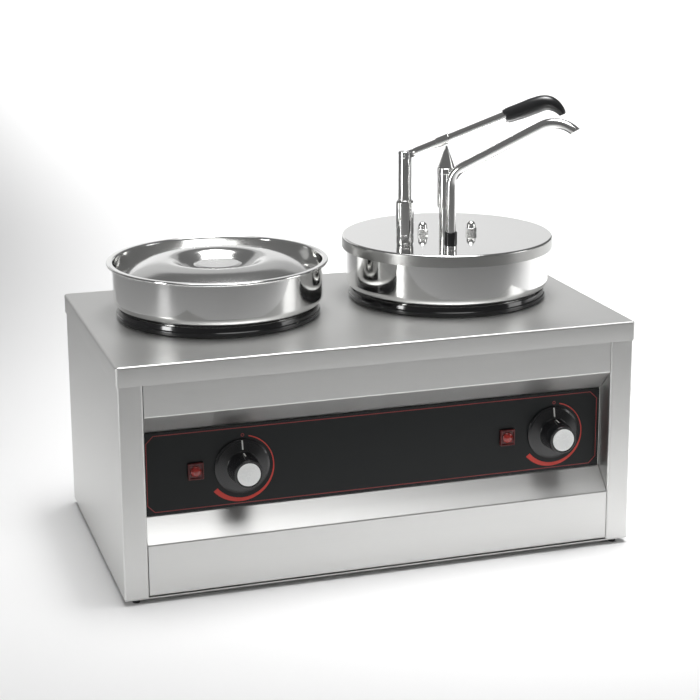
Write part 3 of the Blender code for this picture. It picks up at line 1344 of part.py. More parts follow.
def main():
    start_scene()
    make_base_plate()
    make_side_panel(-1, "side_panel_left")
    make_side_panel(1, "side_panel_right")
    make_front_panel()
    make_fascia()
    make_top_panel()
    make_back_panel()
    make_cable_gland()
    make_terminal_block()
    make_feet()
    for side_name, pot_x, dial_x, lamp_x in (
        ("left", POT_LEFT_X, DIAL_LEFT_X, LAMP_LEFT_X),
        ("right", POT_RIGHT_X, DIAL_RIGHT_X, LAMP_RIGHT_X),
    ):
        make_thermostat("thermostat_" + side_name, dial_x)
        make_knob(side_name, dial_x)
        make_lamp(side_name, lamp_x)
        make_ring("pot_ring_" + side_name, pot_x)
        make_well("well_" + side_name, pot_x)
        make_heater("heater_" + side_name, pot_x)
    make_pots()
    make_pot_lid()
    make_pump_lid()
    make_bracket()
    make_cap_nuts()
    make_post()
    make_lever()
    make_plunger()
    make_pump_works()
    make_spout()


main()
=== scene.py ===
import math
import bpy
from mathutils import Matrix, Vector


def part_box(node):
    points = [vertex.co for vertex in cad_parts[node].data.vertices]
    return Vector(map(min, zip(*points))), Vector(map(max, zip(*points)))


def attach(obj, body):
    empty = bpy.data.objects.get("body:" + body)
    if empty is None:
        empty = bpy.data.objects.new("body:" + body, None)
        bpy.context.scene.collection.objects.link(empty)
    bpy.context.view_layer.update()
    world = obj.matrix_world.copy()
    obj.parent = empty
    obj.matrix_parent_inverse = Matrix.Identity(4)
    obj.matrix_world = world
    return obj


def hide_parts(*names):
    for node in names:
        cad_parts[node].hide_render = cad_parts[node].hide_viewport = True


bl_info = {
    "name": "Sauce Warmer Finish",
    "version": (1, 0, 0),
    "blender": (4, 5, 0),
    "location": "View3D > Sidebar > Warmer",
    "description": "Finished surfaces for a two-pot sauce warmer with a lever pump",
    "category": "Object",
}

import bmesh
import bpy
from bpy.props import FloatProperty, FloatVectorProperty, IntProperty, PointerProperty
from mathutils import Matrix, Vector

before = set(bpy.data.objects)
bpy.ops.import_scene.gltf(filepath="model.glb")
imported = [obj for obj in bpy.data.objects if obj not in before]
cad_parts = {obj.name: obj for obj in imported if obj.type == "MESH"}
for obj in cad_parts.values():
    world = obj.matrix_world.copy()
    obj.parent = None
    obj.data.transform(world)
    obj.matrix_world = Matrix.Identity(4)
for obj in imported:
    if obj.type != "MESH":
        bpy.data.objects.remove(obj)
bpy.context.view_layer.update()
MERGE_DISTANCE = 0.000001
CLEARANCE = 0.0002
SHARP_ANGLE = 0.9


def centre_of(node):
    low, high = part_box(node)
    return (low + high) / 2


def length(name, description, default):
    return FloatProperty(name=name, description=description, default=default, unit="LENGTH", precision=5)


def angle(name, description, default):
    return FloatProperty(name=name, description=description, default=math.radians(default), subtype="ANGLE")


def tone(name, description, default):
    return FloatVectorProperty(
        name=name, description=description, default=default, size=3, subtype="COLOR", min=0, max=1
    )


class WarmerHousing(bpy.types.PropertyGroup):
    sheet: length("Sheet", "Thickness of the housing's steel sheet", 0.0010)
    bend: length("Bend", "Outer radius of the sheet's bends", 0.0022)
    skirt: length("Skirt", "Depth of the top panel's folded edge", 0.0185)
    corner: length("Corner", "Radius of the top panel's corners in plan", 0.0030)
    inner_return: length("Return", "Depth of the fold beside the recess", 0.0235)
    slant: length("Slant", "Height of the two slants", 0.0210)
    recess: length("Recess", "Depth of the recess", 0.0213)
    fold: length("Fold", "Depth of the front panel's top and bottom folds", 0.0140)


class WarmerFascia(bpy.types.PropertyGroup):
    border_gap: length("Border gap", "From the plate's edge to the red border", 0.0026)
    border_width: length("Border width", "Width of the red border line", 0.0008)
    border_corner: length("Border corner", "Cut of the border's corners", 0.0070)
    print_height: length("Print height", "Height of the print over the plate", 0.0001)
    scale_start: angle("Scale start", "Where the heat scale starts, clockwise from the top", 13.0)
    scale_end: angle("Scale end", "Where the heat scale ends, clockwise from the top", 232.0)
    scale_inner: length("Scale radius", "Inner radius of the heat scale", 0.0295)
    scale_thin: length("Thin end", "Width of the heat scale where it starts", 0.0010)
    scale_thick: length("Thick end", "Width of the heat scale where it ends", 0.0048)


class WarmerKnob(bpy.types.PropertyGroup):
    skirt_radius: length("Skirt radius", "Radius of the knob's skirt", 0.0260)
    skirt_edge: length("Skirt edge", "Height of the skirt at its edge", 0.0024)
    crown: length("Crown", "Height of the skirt where it meets the hub", 0.0044)
    hub_radius: length("Hub radius", "Radius of the hub at its foot", 0.0148)
    face_radius: length("Face radius", "Radius of the hub at its face", 0.0134)
    height: length("Height", "Height of the hub over the fascia", 0.0262)
    cap_radius: length("Cap radius", "Radius of the white cap", 0.0108)
    mark: length("Mark", "Width of the pointer marks", 0.0012)


class WarmerPots(bpy.types.PropertyGroup):
    sheet: length("Sheet", "Thickness of the pots", 0.0008)
    radius: length("Radius", "Radius of the pots' straight body", 0.1015)
    lower_radius: length("Lower radius", "Radius of the pots below the shoulder", 0.0935)
    shoulder: length("Shoulder", "Radius of the pots' shoulder bend", 0.0090)
    corner: length("Bottom corner", "Radius of the pots' bottom corner", 0.0080)
    curl: length("Curl", "Radius of the rolled rim", 0.0014)
    ring_radius: length("Ring radius", "Outer radius of the black ring", 0.0990)
    segments: IntProperty(name="Segments", description="Facets round a pot", default=160, min=16)


class WarmerPump(bpy.types.PropertyGroup):
    post_radius: length("Post radius", "Radius of the slotted post", 0.0064)
    sleeve_radius: length("Sleeve radius", "Radius of the sleeve round the post", 0.0087)
    sleeve_height: length("Sleeve height", "Height of the post's sleeve over the lid", 0.0444)
    pivot_height: length("Pivot height", "Height of the hinge pin over the lid", 0.0875)
    slot_width: length("Slot width", "Width of the post's slot", 0.0046)
    slot_depth: length("Slot depth", "Depth of the post's slot", 0.0120)
    lever_angle: angle("Lever angle", "Slope of the lever at rest", 23.6)
    lever_radius: length("Lever radius", "Radius of the lever's tube", 0.0040)
    lever_length: length("Lever length", "Length of the lever's tube from the hinge", 0.1380)
    grip_start: length("Grip start", "Distance of the grip from the hinge", 0.1075)
    spout_radius: length("Spout radius", "Radius of the discharge tube", 0.0048)
    spout_wall: length("Spout wall", "Wall of the discharge tube", 0.0008)
    spout_turn: angle("Spout turn", "Direction of the spout in plan", -38.0)


class WarmerTones(bpy.types.PropertyGroup):
    sheet: tone("Sheet steel", "Colour of the brushed sheet", (0.66, 0.66, 0.65))
    polished: tone("Polished steel", "Colour of the polished steel", (0.84, 0.84, 0.83))
    inner: tone("Plain steel", "Colour of the steel inside", (0.55, 0.55, 0.54))
    fascia: tone("Fascia", "Colour of the fascia plate", (0.010, 0.0115, 0.012))
    moulding: tone("Moulding", "Colour of the black mouldings", (0.010, 0.010, 0.011))
    border: tone("Border", "Colour of the fascia's border", (0.26, 0.03, 0.03))
    scale: tone("Scale", "Colour of the heat scale", (0.58, 0.035, 0.02))
    cap: tone("Cap", "Colour of the knobs' caps", (0.86, 0.87, 0.86))
    lens: tone("Lens", "Colour of the lamps", (0.30, 0.02, 0.015))


class WarmerStage(bpy.types.PropertyGroup):
    eye: FloatVectorProperty(
        name="Eye", description="Place of the camera", default=(-0.50774, -1.62967, 0.66171), subtype="XYZ"
    )
    turn: angle("Turn", "Direction of the camera in plan, from +Y towards +X", 17.621)
    tilt: angle("Tilt", "Downward tilt of the camera", 13.827)
    roll: angle("Roll", "Roll of the camera", -0.261)
    lens: FloatProperty(name="Lens", description="Focal length in millimetres", default=92.11)
    shift: FloatProperty(name="Shift", description="Vertical shift of the lens", default=-0.0857)
    floor: tone("Floor", "Colour of the floor", (0.90, 0.90, 0.90))


class Term:
    """A socket in a sum: arithmetic on it adds Math nodes to its finish."""

    def __init__(self, finish, socket):
        self.finish = finish
        self.socket = socket

    def maths(self, operation, *values, **settings):
        inputs = dict(enumerate((self, *values)))
        return self.finish.add("ShaderNodeMath", {"operation": operation, **settings}, inputs)

    def __add__(self, other):
        return self.maths("ADD", other)

    __radd__ = __add__

    def __mul__(self, other):
        return self.maths("MULTIPLY", other)

    __rmul__ = __mul__

    def __pow__(self, other):
        return self.maths("POWER", other)

    def clamped(self):
        return self.maths("ADD", 0.0, use_clamp=True)


def label(name):
    """A shader socket's label from its name in Python."""
    return name.replace("_", " ").title().replace("Ior", "IOR")


class Finish:
    """A material under construction, with its Principled shader."""

    def __init__(self, name, colour, roughness, metallic=0.0, **constants):
        self.material = bpy.data.materials.new(name)
        self.material.use_nodes = True
        self.tree = self.material.node_tree
        self.shader = self.tree.nodes["Principled BSDF"]
        self.colour = (*colour, 1.0)
        self.shader.inputs["Base Color"].default_value = self.colour
        self.shader.inputs["Roughness"].default_value = roughness
        self.shader.inputs["Metallic"].default_value = metallic
        for socket, value in constants.items():
            self.shader.inputs[label(socket)].default_value = value

    def add(self, kind, settings=None, inputs=None, output=0):
        """Add a node: its settings first, then its sockets' values or links."""
        node = self.tree.nodes.new(kind)
        for name, value in (settings or {}).items():
            setattr(node, name, value)
        for name, value in (inputs or {}).items():
            if isinstance(value, Term):
                self.tree.links.new(value.socket, node.inputs[name])
            else:
                node.inputs[name].default_value = value
        return Term(self, node.outputs[output])

    def place(self, centre=(0, 0, 0), scale=(1, 1, 1), rotation=(0, 0, 0)):
        """Object coordinates, moved to a centre and stretched."""
        raw = self.add("ShaderNodeTexCoord", output="Object")
        moved = self.add("ShaderNodeVectorMath", {"operation": "SUBTRACT"}, {0: raw, 1: tuple(centre)})
        inputs = {"Vector": moved, "Rotation": rotation, "Scale": scale}
        return self.add("ShaderNodeMapping", {"vector_type": "POINT"}, inputs)

    def noise(self, vector, scale=1.0, detail=3.0, roughness=0.5):
        inputs = {"Vector": vector, "Scale": scale, "Detail": detail, "Roughness": roughness}
        return self.add("ShaderNodeTexNoise", {}, inputs, "Fac")

    def mix(self, share, first, second):
        """A colour between two colours."""
        settings = {"data_type": "RGBA", "clamp_factor": True}
        return self.add("ShaderNodeMix", settings, {0: share, 6: first, 7: second}, 2)

    def vary(self, share, low, high):
        """The base colour between two multiples of itself."""
        dark = tuple(channel * low for channel in self.colour[:3]) + (1.0,)
        light = tuple(min(1.0, channel * high) for channel in self.colour[:3]) + (1.0,)
        return self.mix(share, dark, light)

    def feed(self, **links):
        for socket, term in links.items():
            self.tree.links.new(term.socket, self.shader.inputs[label(socket)])
        return self

    def bump(self, height, distance, strength=1.0):
        inputs = {"Height": height, "Distance": distance, "Strength": strength}
        return self.add("ShaderNodeBump", {}, inputs)


FINISHES = {}


def finish(name, make):
    """A finish by name, made once."""
    if name not in FINISHES:
        FINISHES[name] = make(name).material
    return FINISHES[name]


def brushed(name, colour, stretch, roughness=0.38, contrast=0.03):
    """Brushed sheet: fine scratches along one direction, with slow changes of tone."""
    made = Finish(name, colour, roughness, 1.0)
    grain = made.noise(made.place(scale=stretch), 1.0, 3.0, 0.6)
    cloud = made.noise(made.place(scale=(9, 9, 9)), 1.0, 2.0, 0.5)
    share = (grain * 0.7 + cloud * 0.3).clamped()
    return made.feed(
        base_color=made.vary(share, 1.0 - contrast, 1.0 + contrast),
        roughness=(grain * 0.06 + cloud * 0.05 + (roughness - 0.055)).clamped(),
        normal=made.bump(grain, 0.00001, 0.04),
    )


def polished(name, colour, centre, roughness=0.10):
    """Spun and polished steel: faint rings round an upright axis."""
    made = Finish(name, colour, roughness, 1.0)
    x = made.add("ShaderNodeSeparateXYZ", {}, {"Vector": made.place(centre)})
    y, z = (Term(made, x.socket.node.outputs[index]) for index in (1, 2))
    radius = (x * x + y * y) ** 0.5
    ringed = made.add("ShaderNodeCombineXYZ", {}, {0: radius * 900.0, 1: z * 900.0, 2: 0.0})
    ring = made.noise(ringed, 1.0, 3.0, 0.6)
    cloud = made.noise(made.place(scale=(14, 14, 14)), 1.0, 2.0, 0.5)
    return made.feed(
        base_color=made.vary(cloud, 0.97, 1.03),
        roughness=(ring * 0.06 + cloud * 0.05 + (roughness - 0.05)).clamped(),
        normal=made.bump(ring, 0.000004, 0.5),
    )


def moulded(name, colour, roughness=0.25, grain=600.0, depth=0.00002, **constants):
    """Moulded plastic or rubber: a very fine grain and slight changes of gloss."""
    made = Finish(name, colour, roughness, 0.0, **constants)
    fine = made.noise(made.place(scale=(grain, grain, grain)), 1.0, 2.0, 0.5)
    cloud = made.noise(made.place(scale=(25, 25, 25)), 1.0, 2.0, 0.5)
    return made.feed(
        base_color=made.vary(cloud, 0.9, 1.1),
        roughness=(cloud * 0.08 + fine * 0.04 + (roughness - 0.06)).clamped(),
        normal=made.bump(fine, depth, 0.4),
    )


def tones():
    return bpy.context.scene.warmer_tones


def sheet_x():
    return finish("sheet_brushed_along", lambda name: brushed(name, tones().sheet, (2, 1800, 1800)))


def sheet_y():
    return finish("sheet_brushed_upright", lambda name: brushed(name, tones().sheet, (1800, 1800, 2)))


def top_steel():
    return finish("top_brushed", lambda name: brushed(name, tones().sheet, (2, 1800, 1800), 0.42))


def inner_steel():
    return finish("steel_plain", lambda name: brushed(name, tones().inner, (300, 300, 12), 0.34))


def polished_at(title, node, roughness=0.10):
    centre = centre_of(node)
    return finish(title, lambda name: polished(name, tones().polished, (centre.x, centre.y, 0), roughness))


def black_gloss():
    return finish("moulding_gloss_black", lambda name: moulded(name, tones().moulding, 0.2, coat_weight=0.3))


def white_plastic():
    return finish("plastic_white", lambda name: moulded(name, (0.80, 0.80, 0.77), 0.4))


def even_normals(piece):
    even = piece.modifiers.new("even_normals", "WEIGHTED_NORMAL")
    even.keep_sharp = True
    even.weight = 80


def put(name, shape, body, material, nodes=(), smooth_deg=35.0, weighted=True, second=None):
    """Make a bmesh a finished piece that rides on a body and stands for CAD nodes."""
    mesh = bpy.data.meshes.new(name)
    shape.to_mesh(mesh)
    shape.free()
    mesh.materials.append(material)
    if second:
        mesh.materials.append(second)
    mesh.shade_smooth()
    mesh.set_sharp_from_angle(angle=math.radians(smooth_deg))
    piece = bpy.data.objects.new(name, mesh)
    bpy.context.scene.collection.objects.link(piece)
    if weighted:
        even_normals(piece)
    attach(piece, body)
    if nodes:
        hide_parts(*nodes)
    return piece


def paint(material, *nodes):
    """Give CAD nodes a finish."""
    for node in nodes:
        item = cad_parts[node]
        item.data.materials.clear()
        item.data.materials.append(material)


def arc(centre, radius, start_deg, end_deg, steps):
    points = []
    for index in range(steps + 1):
        turn = math.radians(start_deg + (end_deg - start_deg) * index / steps)
        points.append((centre[0] + radius * math.cos(turn), centre[1] + radius * math.sin(turn)))
    return points


def softened(points, radius, steps=4, closed=False):
    """A path with its corners rounded, each by no more than its edges allow."""
    path = [Vector(point) for point in points]
    count = len(path)
    made = []
    for index, corner in enumerate(path):
        if not closed and index in (0, count - 1):
            made.append(corner)
            continue
        back = path[index - 1] - corner
        ahead = path[(index + 1) % count] - corner
        opening = back.angle(ahead)
        if opening > math.radians(172):
            made.append(corner)
            continue
        reach = min(radius / math.tan(opening / 2), back.length * 0.45, ahead.length * 0.45)
        arc_radius = reach * math.tan(opening / 2)
        middle = (back.normalized() + ahead.normalized()).normalized()
        centre = corner + middle * arc_radius / math.sin(opening / 2)
        start = corner + back.normalized() * reach - centre
        sweep = start.angle_signed(corner + ahead.normalized() * reach - centre)
        for step in range(steps + 1):
            made.append(centre + Matrix.Rotation(-sweep * step / steps, 2) @ start)
    return [tuple(point) for point in made]


def beside(path, distance):
    """A copy of an open path, moved to its left."""
    moved = []
    for index, point in enumerate(path):
        here = Vector(point)
        before = (here - Vector(path[index - 1])).normalized() if index else None
        after = (Vector(path[index + 1]) - here).normalized() if index < len(path) - 1 else None
        one = before or after
        two = after or before
        side = (Vector((-one.y, one.x)) + Vector((-two.y, two.x))).normalized()
        moved.append(tuple(here + side * distance / side.dot(Vector((-one.y, one.x)))))
    return moved


def wall(path, thickness):
    return list(path) + beside(path, -thickness)[::-1]


def lathe(profile, centre, segments=96, closed=False, frame_matrix=None):
    """A shape turned from (radius, height) points about an upright axis."""
    shape = bmesh.new()
    points = [shape.verts.new((radius, 0, height)) for radius, height in profile]
    pairs = list(zip(points, points[1:]))
    if closed:
        pairs.append((points[-1], points[0]))
    edges = [shape.edges.new(pair) for pair in pairs]
    bmesh.ops.spin(
        shape, geom=points + edges, cent=(0, 0, 0), axis=(0, 0, 1), angle=math.tau, steps=segments,
        use_merge=True,
    )
    bmesh.ops.remove_doubles(shape, verts=shape.verts, dist=MERGE_DISTANCE)
    bmesh.ops.recalc_face_normals(shape, faces=shape.faces)
    matrix = frame_matrix or Matrix.Identity(4)
    bmesh.ops.transform(shape, matrix=Matrix.Translation(centre) @ matrix, verts=shape.verts)
    return shape


def pipe(node, outer, inner, soft, segments=64):
    """A turned tube between a node's ends, or a rod where inner is 0."""
    low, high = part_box(node)
    spot = (low + high) / 2
    profile = [(inner, high.z), (outer, high.z), (outer, low.z), (inner, low.z)]
    return lathe(softened(profile, soft, 3, inner > 0), (spot.x, spot.y, 0), segments, inner > 0)


def block(low, high):
    """A box between two corners."""
    shape = bmesh.new()
    bmesh.ops.create_cube(shape, size=1.0)
    bmesh.ops.scale(shape, vec=high - low, verts=shape.verts)
    bmesh.ops.translate(shape, vec=(low + high) / 2, verts=shape.verts)
    return shape


def bevelled(shape, edges, offset, segments):
    bmesh.ops.bevel(
        shape, geom=edges, offset=offset, segments=segments, profile=0.5, material=-1, affect="EDGES"
    )


def prism(outline, across, run):
    """A flat outline, placed by across(u, v), pulled straight along run."""
    shape = bmesh.new()
    face = shape.faces.new([shape.verts.new(across(*point)) for point in outline])
    grown = bmesh.ops.extrude_face_region(shape, geom=[face])["geom"]
    moved = [item for item in grown if isinstance(item, bmesh.types.BMVert)]
    bmesh.ops.translate(shape, verts=moved, vec=run)
    bmesh.ops.recalc_face_normals(shape, faces=shape.faces)
    return shape


def band(outer, inner, across, run):
    """The strip between two closed outlines of equal count, pulled along run."""
    shape = bmesh.new()
    loops = []
    for outline in (outer, inner):
        points = [shape.verts.new(across(*point)) for point in outline]
        loops.append([shape.edges.new(pair) for pair in zip(points, points[1:] + points[:1])])
    faces = bmesh.ops.bridge_loops(shape, edges=loops[0] + loops[1])["faces"]
    grown = bmesh.ops.extrude_face_region(shape, geom=faces)["geom"]
    moved = [item for item in grown if isinstance(item, bmesh.types.BMVert)]
    bmesh.ops.translate(shape, verts=moved, vec=run)
    bmesh.ops.recalc_face_normals(shape, faces=shape.faces)
    return shape


def curve_through(points, per_span=8):
    """A smooth path through points of any dimension."""
    path = [Vector(point) for point in points]
    path = [path[0] * 2 - path[1]] + path + [path[-1] * 2 - path[-2]]
    made = []
    for one, two, three, four in zip(path, path[1:], path[2:], path[3:]):
        for step in range(per_span):
            t = step / per_span
            made.append(
                (two * 2 + (three - one) * t + (one * 2 - two * 5 + three * 4 - four) * t ** 2
                 + (two * 3 - one - three * 3 + four) * t ** 3) / 2
            )
    made.append(path[-2])
    return made


def swept(route, radii, sides=24, matrix=None):
    """A round section swept along a route in the XZ plane, its ends closed."""
    shape = bmesh.new()
    loops = []
    count = len(route)
    for index, point in enumerate(route):
        ahead = route[min(index + 1, count - 1)] - route[max(index - 1, 0)]
        tilt = Matrix.Rotation(-math.atan2(ahead.z, ahead.x), 4, "Y") @ Matrix.Rotation(math.pi / 2, 4, "Y")
        place = Matrix.Translation(point) @ tilt
        ring = bmesh.ops.create_circle(shape, segments=sides, radius=radii[index], matrix=place)["verts"]
        loops.append([edge for edge in shape.edges if edge.verts[0] in ring and edge.verts[1] in ring])
    for one, two in zip(loops, loops[1:]):
        bmesh.ops.bridge_loops(shape, edges=one + two)
    bmesh.ops.holes_fill(shape, edges=loops[0] + loops[-1], sides=sides)
    bmesh.ops.recalc_face_normals(shape, faces=shape.faces)
    if matrix:
        bmesh.ops.transform(shape, matrix=matrix, verts=shape.verts)
    return shape


class WARMER_OT_housing(bpy.types.Operator):
    """Make the top panel, the side panels, the front and the rest of the housing"""

    bl_idname = "warmer.housing"
    bl_label = "Housing"

    def execute(self, context):
        sizes = context.scene.warmer_housing
        self.top(sizes)
        self.sides(sizes)
        self.front(sizes)
        paint(sheet_y(), "back_panel")
        paint(inner_steel(), "base_plate")
        return {"FINISHED"}

    def top(self, sizes):
        low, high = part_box("top_panel")
        edge = sizes.bend
        loops = []
        for step in range(7):
            turn = math.pi / 2 * step / 6
            loops.append((edge * (1 - math.sin(turn)), high.z - edge * (1 - math.cos(turn))))
        loops.append((0.0, low.z))
        shape = bmesh.new()
        rings = []
        for inset, z in loops:
            half = ((high - low) / 2).xy - Vector((inset, inset))
            radius = sizes.corner - inset
            outline = []
            for index, (sign_x, sign_y) in enumerate(((1, 1), (-1, 1), (-1, -1), (1, -1))):
                centre = (sign_x * (half.x - radius), sign_y * (half.y - radius))
                outline += arc(centre, radius, 90 * index, 90 * index + 90, 5)
            points = [shape.verts.new((x, y, z)) for x, y in outline]
            rings.append([shape.edges.new(pair) for pair in zip(points, points[1:] + points[:1])])
        for one, two in zip(rings, rings[1:]):
            bmesh.ops.bridge_loops(shape, edges=one + two)
        edges = list(rings[0])
        for node in ("pot_ring_left", "pot_ring_right"):
            middle = centre_of(node)
            near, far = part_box(node)
            matrix = Matrix.Translation((middle.x, middle.y, high.z))
            hole = bmesh.ops.create_circle(
                shape, segments=96, radius=(far.x - near.x) / 2 - 0.0025, matrix=matrix
            )["verts"]
            edges += list({edge for vert in hole for edge in vert.link_edges})
        bmesh.ops.triangle_fill(shape, edges=edges, use_beauty=True)
        bmesh.ops.recalc_face_normals(shape, faces=shape.faces)
        up = max(shape.faces, key=lambda item: item.calc_area())
        if up.normal.z < 0:
            bmesh.ops.reverse_faces(shape, faces=shape.faces)
        piece = put(
            "top_sheet", shape, "housing", top_steel(), ("top_panel",), weighted=False
        )
        solid = piece.modifiers.new("sheet", "SOLIDIFY")
        solid.thickness = sizes.sheet
        solid.offset = -1
        even_normals(piece)

    def sides(self, sizes):
        for side, node in ((-1, "side_panel_left"), (1, "side_panel_right")):
            low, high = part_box(node)
            outer = low.x if side < 0 else high.x
            inner = high.x if side < 0 else low.x
            path = [
                (inner, low.y + sizes.inner_return), (inner, low.y), (outer, low.y), (outer, high.y),
                (inner, high.y),
            ]
            path = softened(path, sizes.bend, 6)
            outline = wall(path, -sizes.sheet * side)
            shape = prism(outline, lambda x, y: (x, y, low.z), (0, 0, high.z - low.z))
            put("side_sheet_" + node.split("_")[-1], shape, "housing", sheet_y(), (node,))

    def front(self, sizes):
        low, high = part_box("front_panel")
        fascia_low, fascia_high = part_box("control_fascia")
        back = low.y + sizes.recess - 0.0010
        path = [
            (low.y + sizes.fold, low.z), (low.y, low.z), (low.y, fascia_low.z - sizes.slant),
            (back, fascia_low.z - 0.0003), (back, fascia_high.z + 0.0003),
            (low.y, fascia_high.z + sizes.slant), (low.y, high.z), (low.y + sizes.fold, high.z),
        ]
        path = softened(path, sizes.bend, 5)
        outline = wall(path, sizes.sheet)
        shape = prism(outline, lambda y, z: (low.x, y, z), (high.x - low.x, 0, 0))
        put("front_sheet", shape, "housing", sheet_x(), ("front_panel",))


class WARMER_OT_fascia(bpy.types.Operator):
    """Make the fascia plate with its border and heat scales"""

    bl_idname = "warmer.fascia"
    bl_label = "Fascia"

    def execute(self, context):
        sizes = context.scene.warmer_fascia
        low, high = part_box("control_fascia")
        face = finish(
            "fascia_print_black",
            lambda name: moulded(name, tones().fascia, 0.34, 900.0, 0.000006, specular_ior_level=0.25),
        )
        border = finish("fascia_border_red", lambda name: moulded(name, tones().border, 0.38))
        scale = finish("fascia_scale_red", lambda name: moulded(name, tones().scale, 0.38))
        shape = block(low, high)
        bevelled(shape, shape.edges[:], 0.0002, 2)
        put("fascia_plate", shape, "housing", face, ("control_fascia",))

        def across(x, z):
            return (x, low.y, z)

        lift = (0, -sizes.print_height, 0)
        outlines = []
        for gap in (sizes.border_gap, sizes.border_gap + sizes.border_width):
            cut = sizes.border_corner - (gap - sizes.border_gap) * 0.6
            left, right, base, top = low.x + gap, high.x - gap, low.z + gap, high.z - gap
            outlines.append([
                (left, base + cut), (left + cut, base), (right - cut, base), (right, base + cut),
                (right, top - cut), (right - cut, top), (left + cut, top), (left, top - cut),
            ])
        put("fascia_border", band(*outlines, across, lift), "housing", border, weighted=False)
        for side in ("left", "right"):
            middle = centre_of("knob_" + side)
            outer, inner = [], []
            for step in range(73):
                share = step / 72
                turn = sizes.scale_start + (sizes.scale_end - sizes.scale_start) * share
                grown = max(0.0, share - 0.35) / 0.65
                wide = sizes.scale_thin + (sizes.scale_thick - sizes.scale_thin) * grown
                for line, radius in ((inner, sizes.scale_inner), (outer, sizes.scale_inner + wide)):
                    height = middle.z - 0.0010 + radius * math.cos(turn)
                    line.append((middle.x + radius * math.sin(turn), height))
            shape = prism(outer + inner[::-1], across, lift)
            put("heat_scale_" + side, shape, "housing", scale, weighted=False)
            spot = lathe(
                [(0.0010, 0), (0.0016, 0), (0.0016, sizes.print_height), (0.0010, sizes.print_height)],
                (middle.x + 0.0010, low.y, middle.z + 0.0295), 24, True, Matrix.Rotation(math.pi / 2, 4, "X"),
            )
            put("heat_zero_" + side, spot, "housing", border, weighted=False)
        return {"FINISHED"}


class WARMER_OT_knobs(bpy.types.Operator):
    """Make the two dials with their caps and marks"""

    bl_idname = "warmer.knobs"
    bl_label = "Dials"

    def execute(self, context):
        sizes = context.scene.warmer_knob
        turned = Matrix.Rotation(math.pi / 2, 4, "X")
        cap_white = finish("cap_white", lambda name: moulded(name, tones().cap, 0.28))
        mark_white = finish("mark_white", lambda name: moulded(name, (0.75, 0.75, 0.72), 0.4))
        face_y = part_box("control_fascia")[0].y
        for side in ("left", "right"):
            body = "dial_" + side
            middle = centre_of("knob_" + side)
            centre = (middle.x, face_y, middle.z)
            profile = [
                (0, sizes.height - 0.0012), (sizes.cap_radius + 0.0004, sizes.height - 0.0012),
                (sizes.cap_radius + 0.0004, sizes.height), (sizes.face_radius, sizes.height),
                (sizes.hub_radius, sizes.crown), (sizes.skirt_radius - 0.0022, sizes.skirt_edge + 0.0003),
                (sizes.skirt_radius, sizes.skirt_edge - 0.0009), (sizes.skirt_radius, 0.0008),
                (sizes.skirt_radius - 0.0015, 0.0008), (0, 0.0008),
            ]
            shape = lathe(softened(profile, 0.0008, 5), centre, 128, frame_matrix=turned)
            put("dial_knob_" + side, shape, body, black_gloss(), ("knob_" + side,))
            cap = [
                (0, sizes.height + 0.0008), (sizes.cap_radius - 0.0012, sizes.height + 0.0007),
                (sizes.cap_radius, sizes.height + 0.0001), (sizes.cap_radius, sizes.height - 0.0010),
                (0, sizes.height - 0.0010),
            ]
            shape = lathe(softened(cap, 0.0005, 4), centre, 96, frame_matrix=turned)
            put("dial_cap_" + side, shape, body, cap_white, ("knob_cap_" + side,))
            half = sizes.mark / 2
            skirt_line = [(0.0168, sizes.crown - 0.0001), (0.0252, sizes.skirt_edge - 0.0001)]
            hub_line = [(sizes.hub_radius - 0.0001, 0.0080), (sizes.face_radius - 0.0001, 0.0245)]
            for part, line in (("skirt", skirt_line), ("hub", hub_line)):
                outline = wall(line, -0.00035)
                shape = prism(
                    outline, lambda up, out: (middle.x - half, face_y - out, middle.z + up), (sizes.mark, 0, 0)
                )
                put("dial_mark_" + part + "_" + side, shape, body, mark_white, weighted=False)
        paint(inner_steel(), "spindle_left", "spindle_right")
        casing = finish("thermostat_casing", lambda name: moulded(name, (0.50, 0.47, 0.40), 0.45))
        paint(casing, "thermostat_left", "thermostat_right")
        return {"FINISHED"}


class WARMER_OT_lamps(bpy.types.Operator):
    """Make the two lamps with their bezels"""

    bl_idname = "warmer.lamps"
    bl_label = "Lamps"

    def execute(self, context):
        lens = finish("lamp_lens_red", lambda name: moulded(name, tones().lens, 0.2, coat_weight=0.5))
        bezel = finish("lamp_bezel_red", lambda name: moulded(name, (0.10, 0.012, 0.012), 0.3))
        for side in ("left", "right"):
            low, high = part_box("lamp_bezel_" + side)
            middle = (low + high) / 2
            shape = block(low, high)
            front = [item for item in shape.faces if item.normal.y < -0.5]
            bmesh.ops.inset_individual(shape, faces=front, thickness=0.0016, depth=0.0)
            bmesh.ops.inset_individual(shape, faces=front, thickness=0.0006, depth=-0.0012)
            folds = [edge for edge in shape.edges if edge.is_manifold and edge.calc_face_angle() > SHARP_ANGLE]
            bevelled(shape, folds, 0.0004, 3)
            put("lamp_frame_" + side, shape, "housing", bezel, ("lamp_bezel_" + side,))
            node_low, node_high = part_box("lamp_" + side)
            radius = (node_high.x - node_low.x) / 2
            front_y = node_low.y
            profile = [(0, 0.0)] + [(radius * share, -depth) for share, depth in
                                    ((0.35, 0.0002), (0.65, 0.0007), (0.88, 0.0013), (1.0, 0.0021))]
            profile += [(radius, -(node_high.y - front_y)), (0, -(node_high.y - front_y))]
            turned = Matrix.Rotation(math.pi / 2, 4, "X")
            shape = lathe(profile, (middle.x, front_y, middle.z), 64, frame_matrix=turned)
            put("lamp_lens_" + side, shape, "housing", lens, ("lamp_" + side,))
        return {"FINISHED"}


